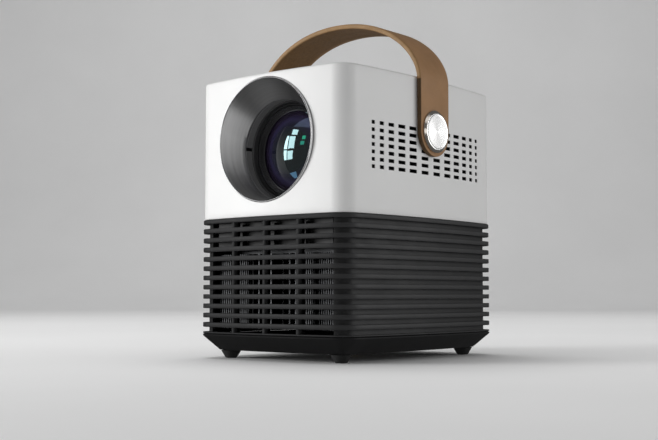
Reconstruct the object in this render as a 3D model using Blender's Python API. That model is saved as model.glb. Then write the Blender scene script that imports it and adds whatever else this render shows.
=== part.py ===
"""Home projector: a cube-shaped body with a white upper shell, a louvred dark base,
a deep lens funnel and a leather carrying strap. Metres, +Z up, lens faces -Y,
origin at the middle of the footprint on the surface that the feet stand on."""

import math

import bmesh
import bpy
from mathutils import Matrix, Vector

MM = 0.001
GAP = 0.3 * MM                      # clearance between pieces that touch

# ---- body -------------------------------------------------------------------
WIDTH = 130 * MM                    # X, at the middle of the side faces
DEPTH = 165.5 * MM                  # Y, at the middle of the front and rear faces
CORNER = 10.4 * MM                  # vertical corner radius
CROWN_FRONT = 4.3 * MM              # how far front and rear faces bulge
CROWN_SIDE = 4.9 * MM               # how far the side faces bulge
FRONT = -DEPTH / 2
SIDE = WIDTH / 2

TRAY_BOTTOM = 5.2 * MM
RIM_Z = 15.4 * MM                   # lower edge of the louvred base
SEAM_Z = 87.0 * MM                  # joint between base and upper shell
TOP_Z = 174.6 * MM

# ---- upper shell ------------------------------------------------------------
WALL = 2.4 * MM
TOP_FILLET = 1.6 * MM
RIM_LAND = 3.0 * MM                 # width of the shell's rim around the top cover
COVER_THICK = 2.0 * MM
COVER_SINK = 0.7 * MM               # the top cover lies below the rim
LEDGE_WIDTH = 3.0 * MM              # ledge that the top cover rests on
LEDGE_THICK = 1.6 * MM

VENT_ROWS = 7
VENT_Z = 115.2 * MM                 # centre of the lowest row
VENT_PITCH = 4.37 * MM
VENT_HEIGHT = 2.3 * MM
VENT_COLUMNS = (                    # distance from the middle, width
    (6.3 * MM, 7.4 * MM), (18.5 * MM, 7.4 * MM), (29.5 * MM, 6.8 * MM),
    (39.4 * MM, 5.3 * MM), (48.0 * MM, 3.9 * MM), (55.5 * MM, 2.9 * MM),
)

# ---- louvred base -----------------------------------------------------------
FIN_OUT = 0.75 * MM                 # fin tips stand proud of the white shell
WALL_IN = -3.0 * MM                 # wall behind the fins
BASE_WALL = 2.0 * MM
FIN_GAPS = 12
FIN_PITCH = 5.88 * MM
FIN_GAP = 3.0 * MM
FIRST_GAP_TOP = SEAM_Z - 2.6 * MM
LIP_HEIGHT = 2.0 * MM               # lip that rises inside the upper shell
GRILLE_HALF = 50.8 * MM
GRILLE_BARS = (-26.4 * MM, 0.0, 26.4 * MM)
GRILLE_EASE = 0.15 * MM             # the windows stop just short of the fins
BAR_WIDTH = 2.3 * MM
BAR_RECESS = 0.7 * MM
BAR_DEPTH = 4.6 * MM

# ---- tray, feet and screws --------------------------------------------------
TRAY_CHAMFER = 9.4 * MM
TRAY_FLOOR = 2.0 * MM               # floor thickness
FOOT_X = 45.1 * MM
FOOT_Y = 64.2 * MM
FOOT_TIP = 3.4 * MM                 # radii
FOOT_HEEL = 4.0 * MM
FOOT_TOP = 6.4 * MM
SCREW_X = 41.5 * MM                 # screws in the tray's underside
SCREW_Y = 53.0 * MM
SCREW_SEAT = 1.3 * MM               # depth of their counterbores
SCREW_TIP = 13.0 * MM
HEAD_R = 2.9 * MM
SHANK_R = 1.45 * MM
INSERT_R = 5.0 * MM                 # brass insert for a tripod
INSERT_BORE = 3.1 * MM
INSERT_TOP = 8.0 * MM

# ---- lens -------------------------------------------------------------------
MOUTH_Z = 133.8 * MM                # centre of the funnel's mouth
LENS_Z = 129.2 * MM                 # optical axis
RING_OUT = 38.1 * MM
RING_IN = 37.0 * MM
RING_FRONT = FRONT - 0.6 * MM
RING_DEPTH = 2.4 * MM
THROAT_R = 31.2 * MM
THROAT_Y = FRONT + 15.8 * MM
FOCUS_STEP_Y = FRONT + 22.3 * MM
GLASS_R = 25.4 * MM
GLASS_Y = FRONT + 28.4 * MM
FOCUS_BORE = 30.0 * MM
BARREL_R = 29.7 * MM
BARREL_FRONT = FRONT + 24.6 * MM
BARREL_LENGTH = 36 * MM
MOUNT_FRONT = FRONT + 27.1 * MM
MOUNT_REAR = -19.0 * MM
FLANGE_R = 36.4 * MM                # flange of the mount, and the funnel's skirt
FLANGE_THICK = 3.0 * MM
SKIRT_R = 34.6 * MM                 # inside of the skirt
FOCUS_OUT = 34.3 * MM
NOTCH_RISE = 2.8 * MM               # finger notch, above the optical axis
NOTCH_WIDTH = 1.8 * MM
NOTCH_DEEP = 33.2 * MM
RETAINER_R = 28.3 * MM
REAR_GLASS_R = 24.1 * MM

# ---- light path -------------------------------------------------------------
MIRROR_Y = 22 * MM
ENGINE_HALF = 38 * MM
ENGINE_FRONT = -18.5 * MM
ENGINE_TOP = 164 * MM
ENGINE_BASE = 98.5 * MM
ENGINE_REAR = 52 * MM
ENGINE_WALL = 2 * MM
ENGINE_WINDOW = 27 * MM             # radius of the opening towards the lens
MIRROR_HALF_X = 33 * MM
MIRROR_HALF_Y = 34 * MM
MIRROR_THICK = 2 * MM

# ---- strap ------------------------------------------------------------------
PIVOT_Z = 141.0 * MM
STRAP_WIDTH = 31 * MM
STRAP_THICK = 3.0 * MM
STRAP_X = 68.3 * MM                 # outer face of the hanging legs
ARCH_FOOT = SEAM_Z + 85.5 * MM
ARCH_RISE = 17.5 * MM
ARCH_FLAT = 45 * MM
ARCH_TOP = SEAM_Z + 128.6 * MM
STUD_R = 3.5 * MM
STUD_END = 58 * MM                  # inner end of the shank
NUT_R = 6.5 * MM
NUT_THICK = 3.2 * MM
CAP_R = 13.2 * MM
CAP_X = 70.2 * MM                   # face of the rivet caps
ACROSS = 80 * MM                    # a cutter this long passes right through the body

# ---- keys -------------------------------------------------------------------
KEY_Y = 24 * MM
KEY_TOP = 174.3 * MM
KEY_BOTTOM = 168.9 * MM
KEY_BOARD_TOP = 167.2 * MM
KEY_BOARD_HALF_X = 46 * MM
KEY_BOARD_HALF_Y = 24 * MM
OK_KEY_R = 7 * MM
ARROW_IN = 9.5 * MM                 # arrow keys: parts of a ring round the OK key
ARROW_OUT = 18 * MM
ARROW_HALF_TURN = 39                # degrees
PAD_KEY_X = 34 * MM                 # power and source keys
PAD_KEY_HALF = 6.5 * MM
PAD_KEY_ROUND = 3 * MM

# ---- rear panel -------------------------------------------------------------
PANEL_HALF = 37 * MM                # opening in the shell
PANEL_LOW = 93 * MM
PANEL_HIGH = 123 * MM
PANEL_EASE = 0.5 * MM
PANEL_FRONT = 77.9 * MM
PANEL_REAR = 81.2 * MM
PORTS = (                           # x, z, half width, half height in mm
    ("dc_jack", -26, 100.5, 4.6, 4.6), ("av_jack", -10, 100.5, 3.6, 3.6),
    ("usb_port", 7, 100.5, 6.9, 3.2), ("hdmi_port", 26, 100.5, 7.6, 2.9),
    ("ir_window", 0, 115, 10, 3.2),
)
BOARD_REAR = 70.1 * MM
BOARD_THICK = 1.5 * MM
SPEAKER_Y = 26 * MM
SPEAKER_Z = 128.3 * MM

# ---- fan --------------------------------------------------------------------
FAN_SIZE = 60 * MM
FAN_THICK = 15 * MM
FAN_Y = 60 * MM
FAN_Z = 47 * MM
FAN_BORE = 28.6 * MM
BLADE_COUNT = 7
BLADE_ROOT = 10 * MM
BLADE_TIP = 27.6 * MM
BLADE_HALF_CHORD = 5.2 * MM
BLADE_HALF_THICK = 0.5 * MM
BLADE_FORWARD = 1.2 * MM

# ---- baffle and heat sink ---------------------------------------------------
BAFFLE_HALF = 47 * MM
BAFFLE_FRONT = -73.9 * MM
BAFFLE_REAR = -72.3 * MM
BAFFLE_LOW = 67.6 * MM
BAFFLE_HIGH = 84.6 * MM
BAFFLE_EDGE = 1.2 * MM
BAFFLE_SLOTS = (                    # left and right edge in mm
    (-31.6, -29.6), (-26.3, -22.0), (-6.4, -4.6), (0.5, 4.1), (21.1, 22.9), (26.0, 29.4))

SINK_HALF = 52.5 * MM
SINK_PLATE = 64.5 * MM              # underside of the plate that carries the fins
SINK_TOP = 71 * MM
SINK_FRONT = -60 * MM
SINK_REAR = 42 * MM
FINS_FRONT = -72 * MM
FINS_LOW = 19 * MM
FINE_HALF_THICK = 0.3 * MM
WIDE_HALF_THICK = 0.5 * MM
FINE_START = 21.3 * MM              # close fins at both sides
FINE_PITCH = 1.71 * MM
FINE_COUNT = 18
WIDE_PITCH = 5.05 * MM              # wide fins in the middle
WIDE_STARTS = (-18.9 * MM, 6.35 * MM)
WIDE_COUNTS = (4, 3)

ROUND = 32                          # steps round the large lens pieces
CORNER_STEPS = 4
FACE_STEPS = 4


# ---- tools ------------------------------------------------------------------
def clear_scene():
    for item in list(bpy.data.objects):
        bpy.data.objects.remove(item, do_unlink=True)


def finish(name, colour, roughness, metallic=0.0):
    mat = bpy.data.materials.new(name)
    mat.use_nodes = True
    shader = mat.node_tree.nodes["Principled BSDF"]
    shader.inputs["Base Color"].default_value = (*colour, 1.0)
    shader.inputs["Roughness"].default_value = roughness
    shader.inputs["Metallic"].default_value = metallic
    return mat


def link(name, bm, mat, origin=(0, 0, 0), sharp=40):
    """Turn a bmesh, built in world coordinates, into an object with its origin there."""
    bmesh.ops.recalc_face_normals(bm, faces=bm.faces)
    bmesh.ops.translate(bm, verts=bm.verts, vec=-Vector(origin))
    mesh = bpy.data.meshes.new(name)
    bm.to_mesh(mesh)
    bm.free()
    mesh.shade_smooth()
    mesh.set_sharp_from_angle(angle=math.radians(sharp))
    obj = bpy.data.objects.new(name, mesh)
    obj.location = origin
    bpy.context.collection.objects.link(obj)
    if mat is not None:
        mesh.materials.append(mat)
    return obj


def skin(bm, rings, closed):
    """Join rings of equal length with quads; cap both ends unless the section is closed."""
    loops = [[bm.verts.new(p) for p in ring] for ring in rings]
    count = len(loops[0])
    pairs = list(zip(loops, loops[1:]))
    if closed:
        pairs.append((loops[-1], loops[0]))
    for low, high in pairs:
        for i in range(count):
            j = (i + 1) % count
            bm.faces.new((low[i], low[j], high[j], high[i]))
    if not closed:
        bm.faces.new(loops[0])
        bm.faces.new(loops[-1])


def loft(name, rings, mat, closed=False, origin=(0, 0, 0), sharp=40):
    bm = bmesh.new()
    skin(bm, rings, closed)
    return link(name, bm, mat, origin, sharp)


def circle(axis, centre, radius, steps):
    """Points round a circle square to the axis."""
    points = []
    for i in range(steps):
        turn = 2 * math.pi * i / steps
        a, b = radius * math.cos(turn), radius * math.sin(turn)
        offset = {"X": (0, a, b), "Y": (a, 0, b), "Z": (a, b, 0)}[axis]
        points.append(Vector(centre) + Vector(offset))
    return points


def turned(name, axis, centre, profile, mat, steps=32, closed=False, origin=None):
    """Turn a profile of (radius, distance along the axis) round an axis."""
    along = Vector({"X": (1, 0, 0), "Y": (0, 1, 0), "Z": (0, 0, 1)}[axis])
    rings = [circle(axis, Vector(centre) + along * h, r, steps) for r, h in profile]
    return loft(name, rings, mat, closed, origin or centre)


def add_box(bm, low, high):
    size = Vector(high) - Vector(low)
    middle = (Vector(high) + Vector(low)) / 2
    matrix = Matrix.Translation(middle) @ Matrix.Diagonal((*size, 1.0))
    bmesh.ops.create_cube(bm, size=1.0, matrix=matrix)


def box(name, low, high, mat, origin=None):
    bm = bmesh.new()
    add_box(bm, low, high)
    middle = tuple((a + b) / 2 for a, b in zip(low, high))
    return link(name, bm, mat, origin or middle)


def boxes(name, pairs, mat=None):
    bm = bmesh.new()
    for low, high in pairs:
        add_box(bm, low, high)
    return link(name, bm, mat)


def combine(obj, other, operation):
    mod = obj.modifiers.new(operation.lower(), "BOOLEAN")
    mod.operation = operation
    mod.solver = "EXACT"
    mod.object = other
    other.hide_render = True
    other.display_type = "WIRE"


def cut(obj, cutter):
    combine(obj, cutter, "DIFFERENCE")


def weld(obj, addition):
    combine(obj, addition, "UNION")


def parent_to(obj, empty):
    obj.parent = empty
    obj.matrix_parent_inverse = Matrix.Translation(-Vector(empty.location))


def joint_empty(name, place):
    empty = bpy.data.objects.new(name, None)
    empty.location = place
    bpy.context.collection.objects.link(empty)
    return empty


def crown(x, y, offset=0.0):
    """Pull a point of the plain rounded rectangle in, so that every face bulges."""
    half_x, half_y = SIDE + offset, DEPTH / 2 + offset
    new_y = y - math.copysign(CROWN_FRONT * (x / half_x) ** 2 * abs(y) / half_y, y)
    new_x = x - math.copysign(CROWN_SIDE * (y / half_y) ** 2 * abs(x) / half_x, x)
    return new_x, new_y


def outline(offset, z):
    """The body's plan at a distance outside (+) or inside (-) its faces."""
    half_x, half_y = SIDE + offset, DEPTH / 2 + offset
    radius = max(CORNER + offset, 1.5 * MM)
    corners = ((1, 1, 0), (-1, 1, 90), (-1, -1, 180), (1, -1, 270))
    flat = []
    for sign_x, sign_y, start in corners:
        cx, cy = sign_x * (half_x - radius), sign_y * (half_y - radius)
        for step in range(CORNER_STEPS + 1):
            turn = math.radians(start + 90 * step / CORNER_STEPS)
            flat.append((cx + radius * math.cos(turn), cy + radius * math.sin(turn)))
    points = []
    run = CORNER_STEPS + 1
    for corner in range(4):
        points += flat[corner * run:(corner + 1) * run]
        x0, y0 = flat[corner * run + run - 1]
        x1, y1 = flat[(corner + 1) * run % len(flat)]
        for step in range(1, FACE_STEPS):
            t = step / FACE_STEPS
            points.append((x0 + (x1 - x0) * t, y0 + (y1 - y0) * t))
    return [Vector((*crown(x, y, offset), z)) for x, y in points]


# ---- casing -----------------------------------------------------------------
def make_upper_shell(mat):
    ledge_top = TOP_Z - COVER_SINK - COVER_THICK - GAP
    section = [(0, SEAM_Z + GAP), (0, TOP_Z - TOP_FILLET)]
    for step in (1, 2, 3):
        turn = math.radians(30 * step)
        inset = TOP_FILLET * (1 - math.cos(turn))
        section.append((-inset, TOP_Z - TOP_FILLET * (1 - math.sin(turn))))
    section += [
        (-RIM_LAND, TOP_Z), (-RIM_LAND, ledge_top),
        (-RIM_LAND - LEDGE_WIDTH, ledge_top), (-RIM_LAND - LEDGE_WIDTH, ledge_top - LEDGE_THICK),
        (-WALL, ledge_top - LEDGE_THICK), (-WALL, SEAM_Z + GAP),
    ]
    shell = loft("upper_shell", [outline(o, z) for o, z in section], mat, closed=True)
    mouth = turned("mouth_cut", "Y", (0, FRONT, MOUTH_Z),
                   [(RING_OUT + GAP, -8 * MM), (RING_OUT + GAP, 12 * MM)], None, ROUND)
    cut(shell, mouth)
    holes = []
    for side in (-1, 1):
        for away, width in VENT_COLUMNS:
            for y in (-away, away):
                for row in range(VENT_ROWS):
                    z = VENT_Z + row * VENT_PITCH
                    xs = sorted((side * (SIDE - 10 * MM), side * (SIDE + 5 * MM)))
                    holes.append(((xs[0], y - width / 2, z - VENT_HEIGHT / 2),
                                  (xs[1], y + width / 2, z + VENT_HEIGHT / 2)))
    cut(shell, boxes("vent_cut", holes))
    studs = turned("stud_cut", "X", (0, 0, PIVOT_Z),
                   [(STUD_R + GAP, -ACROSS), (STUD_R + GAP, ACROSS)], None, 16)
    cut(shell, studs)
    panel = box("panel_cut", (-PANEL_HALF, 70 * MM, PANEL_LOW), (PANEL_HALF, 90 * MM, PANEL_HIGH), None)
    cut(shell, panel)


def make_top_cover(mat, keys):
    top = TOP_Z - COVER_SINK
    rings = [outline(-RIM_LAND - GAP, top - COVER_THICK), outline(-RIM_LAND - GAP, top)]
    cover = loft("top_cover", rings, mat)
    for name, shape in keys.items():
        cut(cover, key_solid(name + "_hole", shape, GAP, top - 10 * MM, top + 10 * MM, None))


def make_louvred_base(mat):
    lip = -WALL - GAP
    section = [(FIN_OUT, SEAM_Z)]
    for k in range(FIN_GAPS):
        high = FIRST_GAP_TOP - k * FIN_PITCH
        low = high - FIN_GAP
        section += [(FIN_OUT, high), (WALL_IN, high), (WALL_IN, low), (FIN_OUT, low)]
    inner = WALL_IN - BASE_WALL
    section += [(FIN_OUT, RIM_Z + GAP), (inner, RIM_Z + GAP), (inner, SEAM_Z + LIP_HEIGHT),
                (lip, SEAM_Z + LIP_HEIGHT), (lip, SEAM_Z)]
    base = loft("louvred_base", [outline(o, z) for o, z in section], mat, closed=True, sharp=35)
    front_edges = [-GRILLE_HALF, *GRILLE_BARS, GRILLE_HALF]
    rear_edges = [-GRILLE_HALF, 0.0, GRILLE_HALF]
    slots = []
    for side, edges in ((-1, front_edges), (1, rear_edges)):
        ys = sorted((side * (DEPTH / 2 - 10 * MM), side * (DEPTH / 2 + 5 * MM)))
        for left, right in zip(edges, edges[1:]):
            for k in range(FIN_GAPS):
                high = FIRST_GAP_TOP - k * FIN_PITCH - GRILLE_EASE
                low = high - FIN_GAP + 2 * GRILLE_EASE
                slots.append(((left + BAR_WIDTH / 2, ys[0], low),
                              (right - BAR_WIDTH / 2, ys[1], high)))
    cut(base, boxes("grille_cut", slots))
    bars = []
    for x in GRILLE_BARS:
        face = FRONT - FIN_OUT + BAR_RECESS + CROWN_FRONT * (x / SIDE) ** 2
        bars.append(((x - BAR_WIDTH / 2, face, RIM_Z + 1 * MM),
                     (x + BAR_WIDTH / 2, face + BAR_DEPTH, SEAM_Z - 1 * MM)))
    weld(base, boxes("grille_bars", bars))


def make_tray(mat):
    section = [(-TRAY_CHAMFER, TRAY_BOTTOM), (FIN_OUT, RIM_Z - 1 * MM), (FIN_OUT, RIM_Z),
               (WALL_IN - BASE_WALL, RIM_Z), (-TRAY_CHAMFER, TRAY_BOTTOM + TRAY_FLOOR)]
    tray = loft("bottom_tray", [outline(o, z) for o, z in section], mat, sharp=35)
    insert = turned("insert_cut", "Z", (0, 0, TRAY_BOTTOM),
                    [(INSERT_R + GAP, -2 * MM), (INSERT_R + GAP, 6 * MM)], None, 24)
    cut(tray, insert)
    for i, (x, y) in enumerate(corner_places(SCREW_X, SCREW_Y)):
        hole = turned("tray_screw_cut_%d" % i, "Z", (x, y, TRAY_BOTTOM),
                      [(HEAD_R + GAP, -2 * MM), (HEAD_R + GAP, SCREW_SEAT),
                       (SHANK_R + GAP, SCREW_SEAT), (SHANK_R + GAP, 6 * MM)], None, 16)
        cut(tray, hole)


def corner_places(x, y):
    return ((-x, -y), (x, -y), (-x, y), (x, y))


def make_feet(mat):
    names = ("foot_front_left", "foot_front_right", "foot_rear_left", "foot_rear_right")
    profile = [(FOOT_TIP, 0), (FOOT_HEEL, 0.5 * MM), (FOOT_TOP, TRAY_BOTTOM - GAP)]
    for name, (x, y) in zip(names, corner_places(FOOT_X, FOOT_Y)):
        turned(name, "Z", (x, y, 0), profile, mat, 14)


def make_tray_screws(mat):
    """Four screws whose heads sit in counterbores, just inside the tray's underside."""
    low, high = TRAY_BOTTOM + 0.1 * MM, TRAY_BOTTOM + SCREW_SEAT - GAP
    for i, (x, y) in enumerate(corner_places(SCREW_X, SCREW_Y)):
        bm = bmesh.new()
        head = [(HEAD_R - 0.2 * MM, low), (HEAD_R, low + 0.2 * MM), (HEAD_R, high),
                (SHANK_R, high), (SHANK_R, SCREW_TIP)]
        skin(bm, [circle("Z", (x, y, z), r, 16) for r, z in head], False)
        screw = link("tray_screw_%d" % (i + 1), bm, mat, (x, y, TRAY_BOTTOM))
        half_long, half_wide = 1.7 * MM, 0.35 * MM
        slot = boxes("cross_cut_%d" % (i + 1), [(
            (x - half_long, y - half_wide, low - 1 * MM), (x + half_long, y + half_wide, low + 0.5 * MM))])
        cut(screw, slot)


def make_tripod_insert(mat):
    turned("tripod_insert", "Z", (0, 0, TRAY_BOTTOM),
           [(INSERT_BORE, 0.2 * MM), (INSERT_R, 0.2 * MM), (INSERT_R, INSERT_TOP),
            (INSERT_BORE, INSERT_TOP)], mat, 24, closed=True)


# ---- keys -------------------------------------------------------------------
def arc_sector(middle_deg, inner, outer, half_deg, steps=4):
    points = []
    for step in range(steps + 1):
        turn = math.radians(middle_deg - half_deg + 2 * half_deg * step / steps)
        points.append((outer * math.cos(turn), outer * math.sin(turn)))
    for step in range(steps + 1):
        turn = math.radians(middle_deg + half_deg - 2 * half_deg * step / steps)
        points.append((inner * math.cos(turn), inner * math.sin(turn)))
    return points


def round_key(radius, steps=16):
    return [(radius * math.cos(2 * math.pi * i / steps), radius * math.sin(2 * math.pi * i / steps))
            for i in range(steps)]


def pad_key(half, radius, steps=2):
    points = []
    for sign_x, sign_y, start in ((1, 1, 0), (-1, 1, 90), (-1, -1, 180), (1, -1, 270)):
        for step in range(steps + 1):
            turn = math.radians(start + 90 * step / steps)
            points.append((sign_x * (half - radius) + radius * math.cos(turn),
                           sign_y * (half - radius) + radius * math.sin(turn)))
    return points


def key_shapes():
    """Each key: plan points about the key's centre, and the centre."""
    middle = (0.0, KEY_Y)
    shapes = {"key_ok": (round_key(OK_KEY_R), middle)}
    for name, angle in (("key_right", 0), ("key_up", 90), ("key_left", 180), ("key_down", 270)):
        shapes[name] = (arc_sector(angle, ARROW_IN, ARROW_OUT, ARROW_HALF_TURN), middle)
    for name, x in (("key_power", -PAD_KEY_X), ("key_source", PAD_KEY_X)):
        shapes[name] = (pad_key(PAD_KEY_HALF, PAD_KEY_ROUND), (x, KEY_Y))
    return shapes


def grow(points, amount):
    """Offset a plan outline along its own normals."""
    grown = []
    count = len(points)
    for i, (x, y) in enumerate(points):
        px, py = points[i - 1]
        nx, ny = points[(i + 1) % count]
        one = Vector((y - py, px - x)).normalized()
        two = Vector((ny - y, x - nx)).normalized()
        mitre = (one + two).normalized()
        scale = amount / max(mitre.dot(one), 0.5)
        grown.append((x + mitre.x * scale, y + mitre.y * scale))
    return grown


def key_solid(name, shape, spread, low, high, mat):
    plan, (cx, cy) = shape
    rings = [[Vector((cx + x, cy + y, z)) for x, y in grow(plan, spread)] for z in (low, high)]
    return loft(name, rings, mat, origin=(cx, cy, high))


def make_keys(keys, mat):
    flange = TOP_Z - COVER_SINK - COVER_THICK - 0.5 * MM
    for name, shape in keys.items():
        plan, (cx, cy) = shape
        levels = ((0.6 * MM, KEY_BOTTOM), (0.6 * MM, flange), (0, flange + 0.15 * MM),
                  (0, KEY_TOP - 0.4 * MM), (-0.4 * MM, KEY_TOP))
        rings = [[Vector((cx + x, cy + y, z)) for x, y in grow(plan, spread)]
                 for spread, z in levels]
        loft(name, rings, mat, origin=(cx, cy, KEY_TOP))


def make_key_board(mat, keys):
    board = box("key_board", (-KEY_BOARD_HALF_X, KEY_Y - KEY_BOARD_HALF_Y, KEY_BOARD_TOP - 1.2 * MM),
                (KEY_BOARD_HALF_X, KEY_Y + KEY_BOARD_HALF_Y, KEY_BOARD_TOP), mat)
    switches = []
    for name, (plan, (cx, cy)) in keys.items():
        x = cx + sum(p[0] for p in plan) / len(plan)
        y = cy + sum(p[1] for p in plan) / len(plan)
        switches.append(((x - 1.5 * MM, y - 1.5 * MM, KEY_BOARD_TOP - 0.5 * MM),
                         (x + 1.5 * MM, y + 1.5 * MM, KEY_BOARD_TOP + 0.6 * MM)))
    weld(board, boxes("key_switches", switches))


# ---- lens -------------------------------------------------------------------
def make_rim_ring(mat):
    depth = RING_DEPTH
    profile = [(RING_IN, depth), (RING_IN, 0.3 * MM), (RING_IN + 0.3 * MM, 0),
               (RING_OUT - 0.3 * MM, 0), (RING_OUT, 0.3 * MM), (RING_OUT, depth)]
    turned("rim_ring", "Y", (0, RING_FRONT, MOUTH_Z), profile, mat, ROUND, closed=True)


def make_funnel(mat):
    mouth_y = RING_FRONT + RING_DEPTH + GAP
    section = [
        (FLANGE_R, MOUNT_FRONT - GAP, LENS_Z), (FLANGE_R, THROAT_Y, LENS_Z),
        (RING_OUT - 0.1 * MM, mouth_y + 0.8 * MM, MOUTH_Z), (RING_OUT - 0.1 * MM, mouth_y, MOUTH_Z),
        (RING_IN, mouth_y, MOUTH_Z), (THROAT_R, THROAT_Y, LENS_Z),
        (THROAT_R, THROAT_Y + 0.9 * MM, LENS_Z), (SKIRT_R, THROAT_Y + 0.9 * MM, LENS_Z),
        (SKIRT_R, MOUNT_FRONT - GAP, LENS_Z),
    ]
    rings = [circle("Y", (0, y, z), r, ROUND) for r, y, z in section]
    loft("lens_funnel", rings, mat, closed=True, origin=(0, THROAT_Y, LENS_Z))


def make_focus_ring(mat):
    front = THROAT_Y + 1.2 * MM
    rear = MOUNT_FRONT - GAP
    profile = [(THROAT_R - 0.1 * MM, front), (FOCUS_OUT, front), (FOCUS_OUT, rear),
               (FOCUS_BORE, rear), (FOCUS_BORE, FOCUS_STEP_Y), (THROAT_R - 0.1 * MM, FOCUS_STEP_Y)]
    rings = [circle("Y", (0, y, LENS_Z), r, ROUND) for r, y in profile]
    ring = loft("focus_ring", rings, mat, closed=True, origin=(0, front, LENS_Z))
    notch_z = LENS_Z + NOTCH_RISE
    notch = box("notch_cut", (-NOTCH_DEEP, front - 2 * MM, notch_z - NOTCH_WIDTH / 2),
                (-28 * MM, FOCUS_STEP_Y, notch_z + NOTCH_WIDTH / 2), None)
    cut(ring, notch)


def make_lens_mount(mat):
    behind, tube = MOUNT_FRONT + FLANGE_THICK, FOCUS_BORE + 2.5 * MM
    profile = [(FOCUS_BORE, MOUNT_FRONT), (FLANGE_R, MOUNT_FRONT), (FLANGE_R, behind),
               (tube, behind), (tube, MOUNT_REAR), (FOCUS_BORE, MOUNT_REAR)]
    rings = [circle("Y", (0, y, LENS_Z), r, 24) for r, y in profile]
    loft("lens_mount", rings, mat, closed=True, origin=(0, MOUNT_FRONT, LENS_Z))


def make_barrel(mat):
    recess_end = GLASS_Y + 5 * MM
    profile = [
        (BARREL_R, 0), (BARREL_R, BARREL_LENGTH), (22.8 * MM, BARREL_LENGTH),
        (22.8 * MM, BARREL_LENGTH - 3 * MM), (24.5 * MM, BARREL_LENGTH - 3 * MM),
        (24.5 * MM, recess_end - BARREL_FRONT), (28.6 * MM, recess_end - BARREL_FRONT), (28.6 * MM, 0),
    ]
    turned("lens_barrel", "Y", (0, BARREL_FRONT, LENS_Z), profile, mat, 32, closed=True)
    seat = GLASS_Y - BARREL_FRONT
    retainer = [
        (RETAINER_R, 0.2 * MM), (RETAINER_R, seat), (GLASS_R, seat),
        (26.6 * MM, 1.8 * MM), (27.2 * MM, 1.8 * MM), (27.7 * MM, 0.2 * MM),
    ]
    turned("lens_retainer", "Y", (0, BARREL_FRONT, LENS_Z), retainer, mat, ROUND, closed=True)


def dome(radius, bulge, steps):
    """Heights of a shallow spherical cap, from its rim to near its middle."""
    sphere = (radius ** 2 + bulge ** 2) / (2 * bulge)
    points = []
    for step in range(steps):
        r = radius * (1 - step / steps)
        points.append((r, math.sqrt(sphere ** 2 - r ** 2) - (sphere - bulge)))
    points.append((0.4 * MM, bulge))
    return points


def make_lenses(mat):
    rim = GLASS_Y + GAP
    front_cap = [(r, -h) for r, h in reversed(dome(GLASS_R - GAP, 4.2 * MM, 6))]
    flange = [(28.2 * MM, 0), (28.2 * MM, 3.6 * MM), (0.4 * MM, 3.6 * MM)]
    turned("front_lens", "Y", (0, rim, LENS_Z), front_cap + flange, mat, 32)
    rear_y = BARREL_FRONT + BARREL_LENGTH - 3 * MM - GAP
    cap = [(r, -5 * MM - h) for r, h in reversed(dome(REAR_GLASS_R, 3 * MM, 4))]
    turned("rear_lens", "Y", (0, rear_y, LENS_Z), cap + [(REAR_GLASS_R, 0), (0.4 * MM, 0)], mat, 32)


# ---- light engine -----------------------------------------------------------
def engine_profile(inset):
    """Side view of the mirror box, (y, z), with its back sloped at 45 degrees."""
    lean = MIRROR_Y + LENS_Z + 9 * MM                  # y + z along the sloped back
    shift = inset * math.sqrt(2)
    front, base, top = ENGINE_FRONT + inset, ENGINE_BASE - inset, ENGINE_TOP - inset
    back = lean - shift
    rear = ENGINE_REAR - inset
    return [(front, base), (front, top), (back - top, top), (rear, back - rear), (rear, base)]


def prism(name, profile, half, mat, origin=(0, 0, 0)):
    rings = [[Vector((x, y, z)) for y, z in profile] for x in (-half, half)]
    return loft(name, rings, mat, origin=origin, sharp=30)


def make_light_box(mat):
    body = prism("light_box", engine_profile(0), ENGINE_HALF, mat, (0, MIRROR_Y, LENS_Z))
    hollow = prism("light_box_hollow", engine_profile(ENGINE_WALL), ENGINE_HALF - ENGINE_WALL, None)
    cut(body, hollow)
    window = turned("light_box_window", "Y", (0, ENGINE_FRONT, LENS_Z),
                    [(ENGINE_WINDOW, -5 * MM), (ENGINE_WINDOW, 5 * MM)], None, 32)
    cut(body, window)


def make_mirror(mat):
    bm = bmesh.new()
    add_box(bm, (-MIRROR_HALF_X, -MIRROR_HALF_Y, -MIRROR_THICK / 2),
            (MIRROR_HALF_X, MIRROR_HALF_Y, MIRROR_THICK / 2))
    mirror = link("fold_mirror", bm, mat)
    mirror.location = (0, MIRROR_Y + 2.0 * MM, LENS_Z + 2.0 * MM)
    mirror.rotation_euler = (math.radians(-45), 0, 0)


def make_panel_stack(mats):
    steps = ((31, 21, 82.3), (31, 21, 84.3), (33.5, 23.5, 84.3), (33.5, 23.5, 89),
             (35.5, 25.5, 89), (35.5, 25.5, 94), (37.5, 27.5, 94), (37.5, 27.5, 98.2))
    outer = [(41, 31, 98.2), (41, 31, 82.3)]

    def plan(half_x, half_y, z):
        return [Vector((sx * half_x * MM, MIRROR_Y + sy * half_y * MM, z * MM))
                for sx, sy in ((-1, -1), (1, -1), (1, 1), (-1, 1))]

    rings = [plan(*s) for s in steps] + [plan(*s) for s in outer]
    loft("panel_frame", rings, mats["black_plastic"], closed=True, origin=(0, MIRROR_Y, 90 * MM))
    plates = (("lower_fresnel", 33.1, 23.1, 84.6, 86.4, "clear"),
              ("lcd_panel", 35.1, 25.1, 89.3, 91.6, "panel_glass"),
              ("upper_fresnel", 37.1, 27.1, 94.3, 96.1, "clear"))
    for name, half_x, half_y, low, high, mat in plates:
        box(name, (-half_x * MM, MIRROR_Y - half_y * MM, low * MM),
            (half_x * MM, MIRROR_Y + half_y * MM, high * MM), mats[mat])


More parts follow.
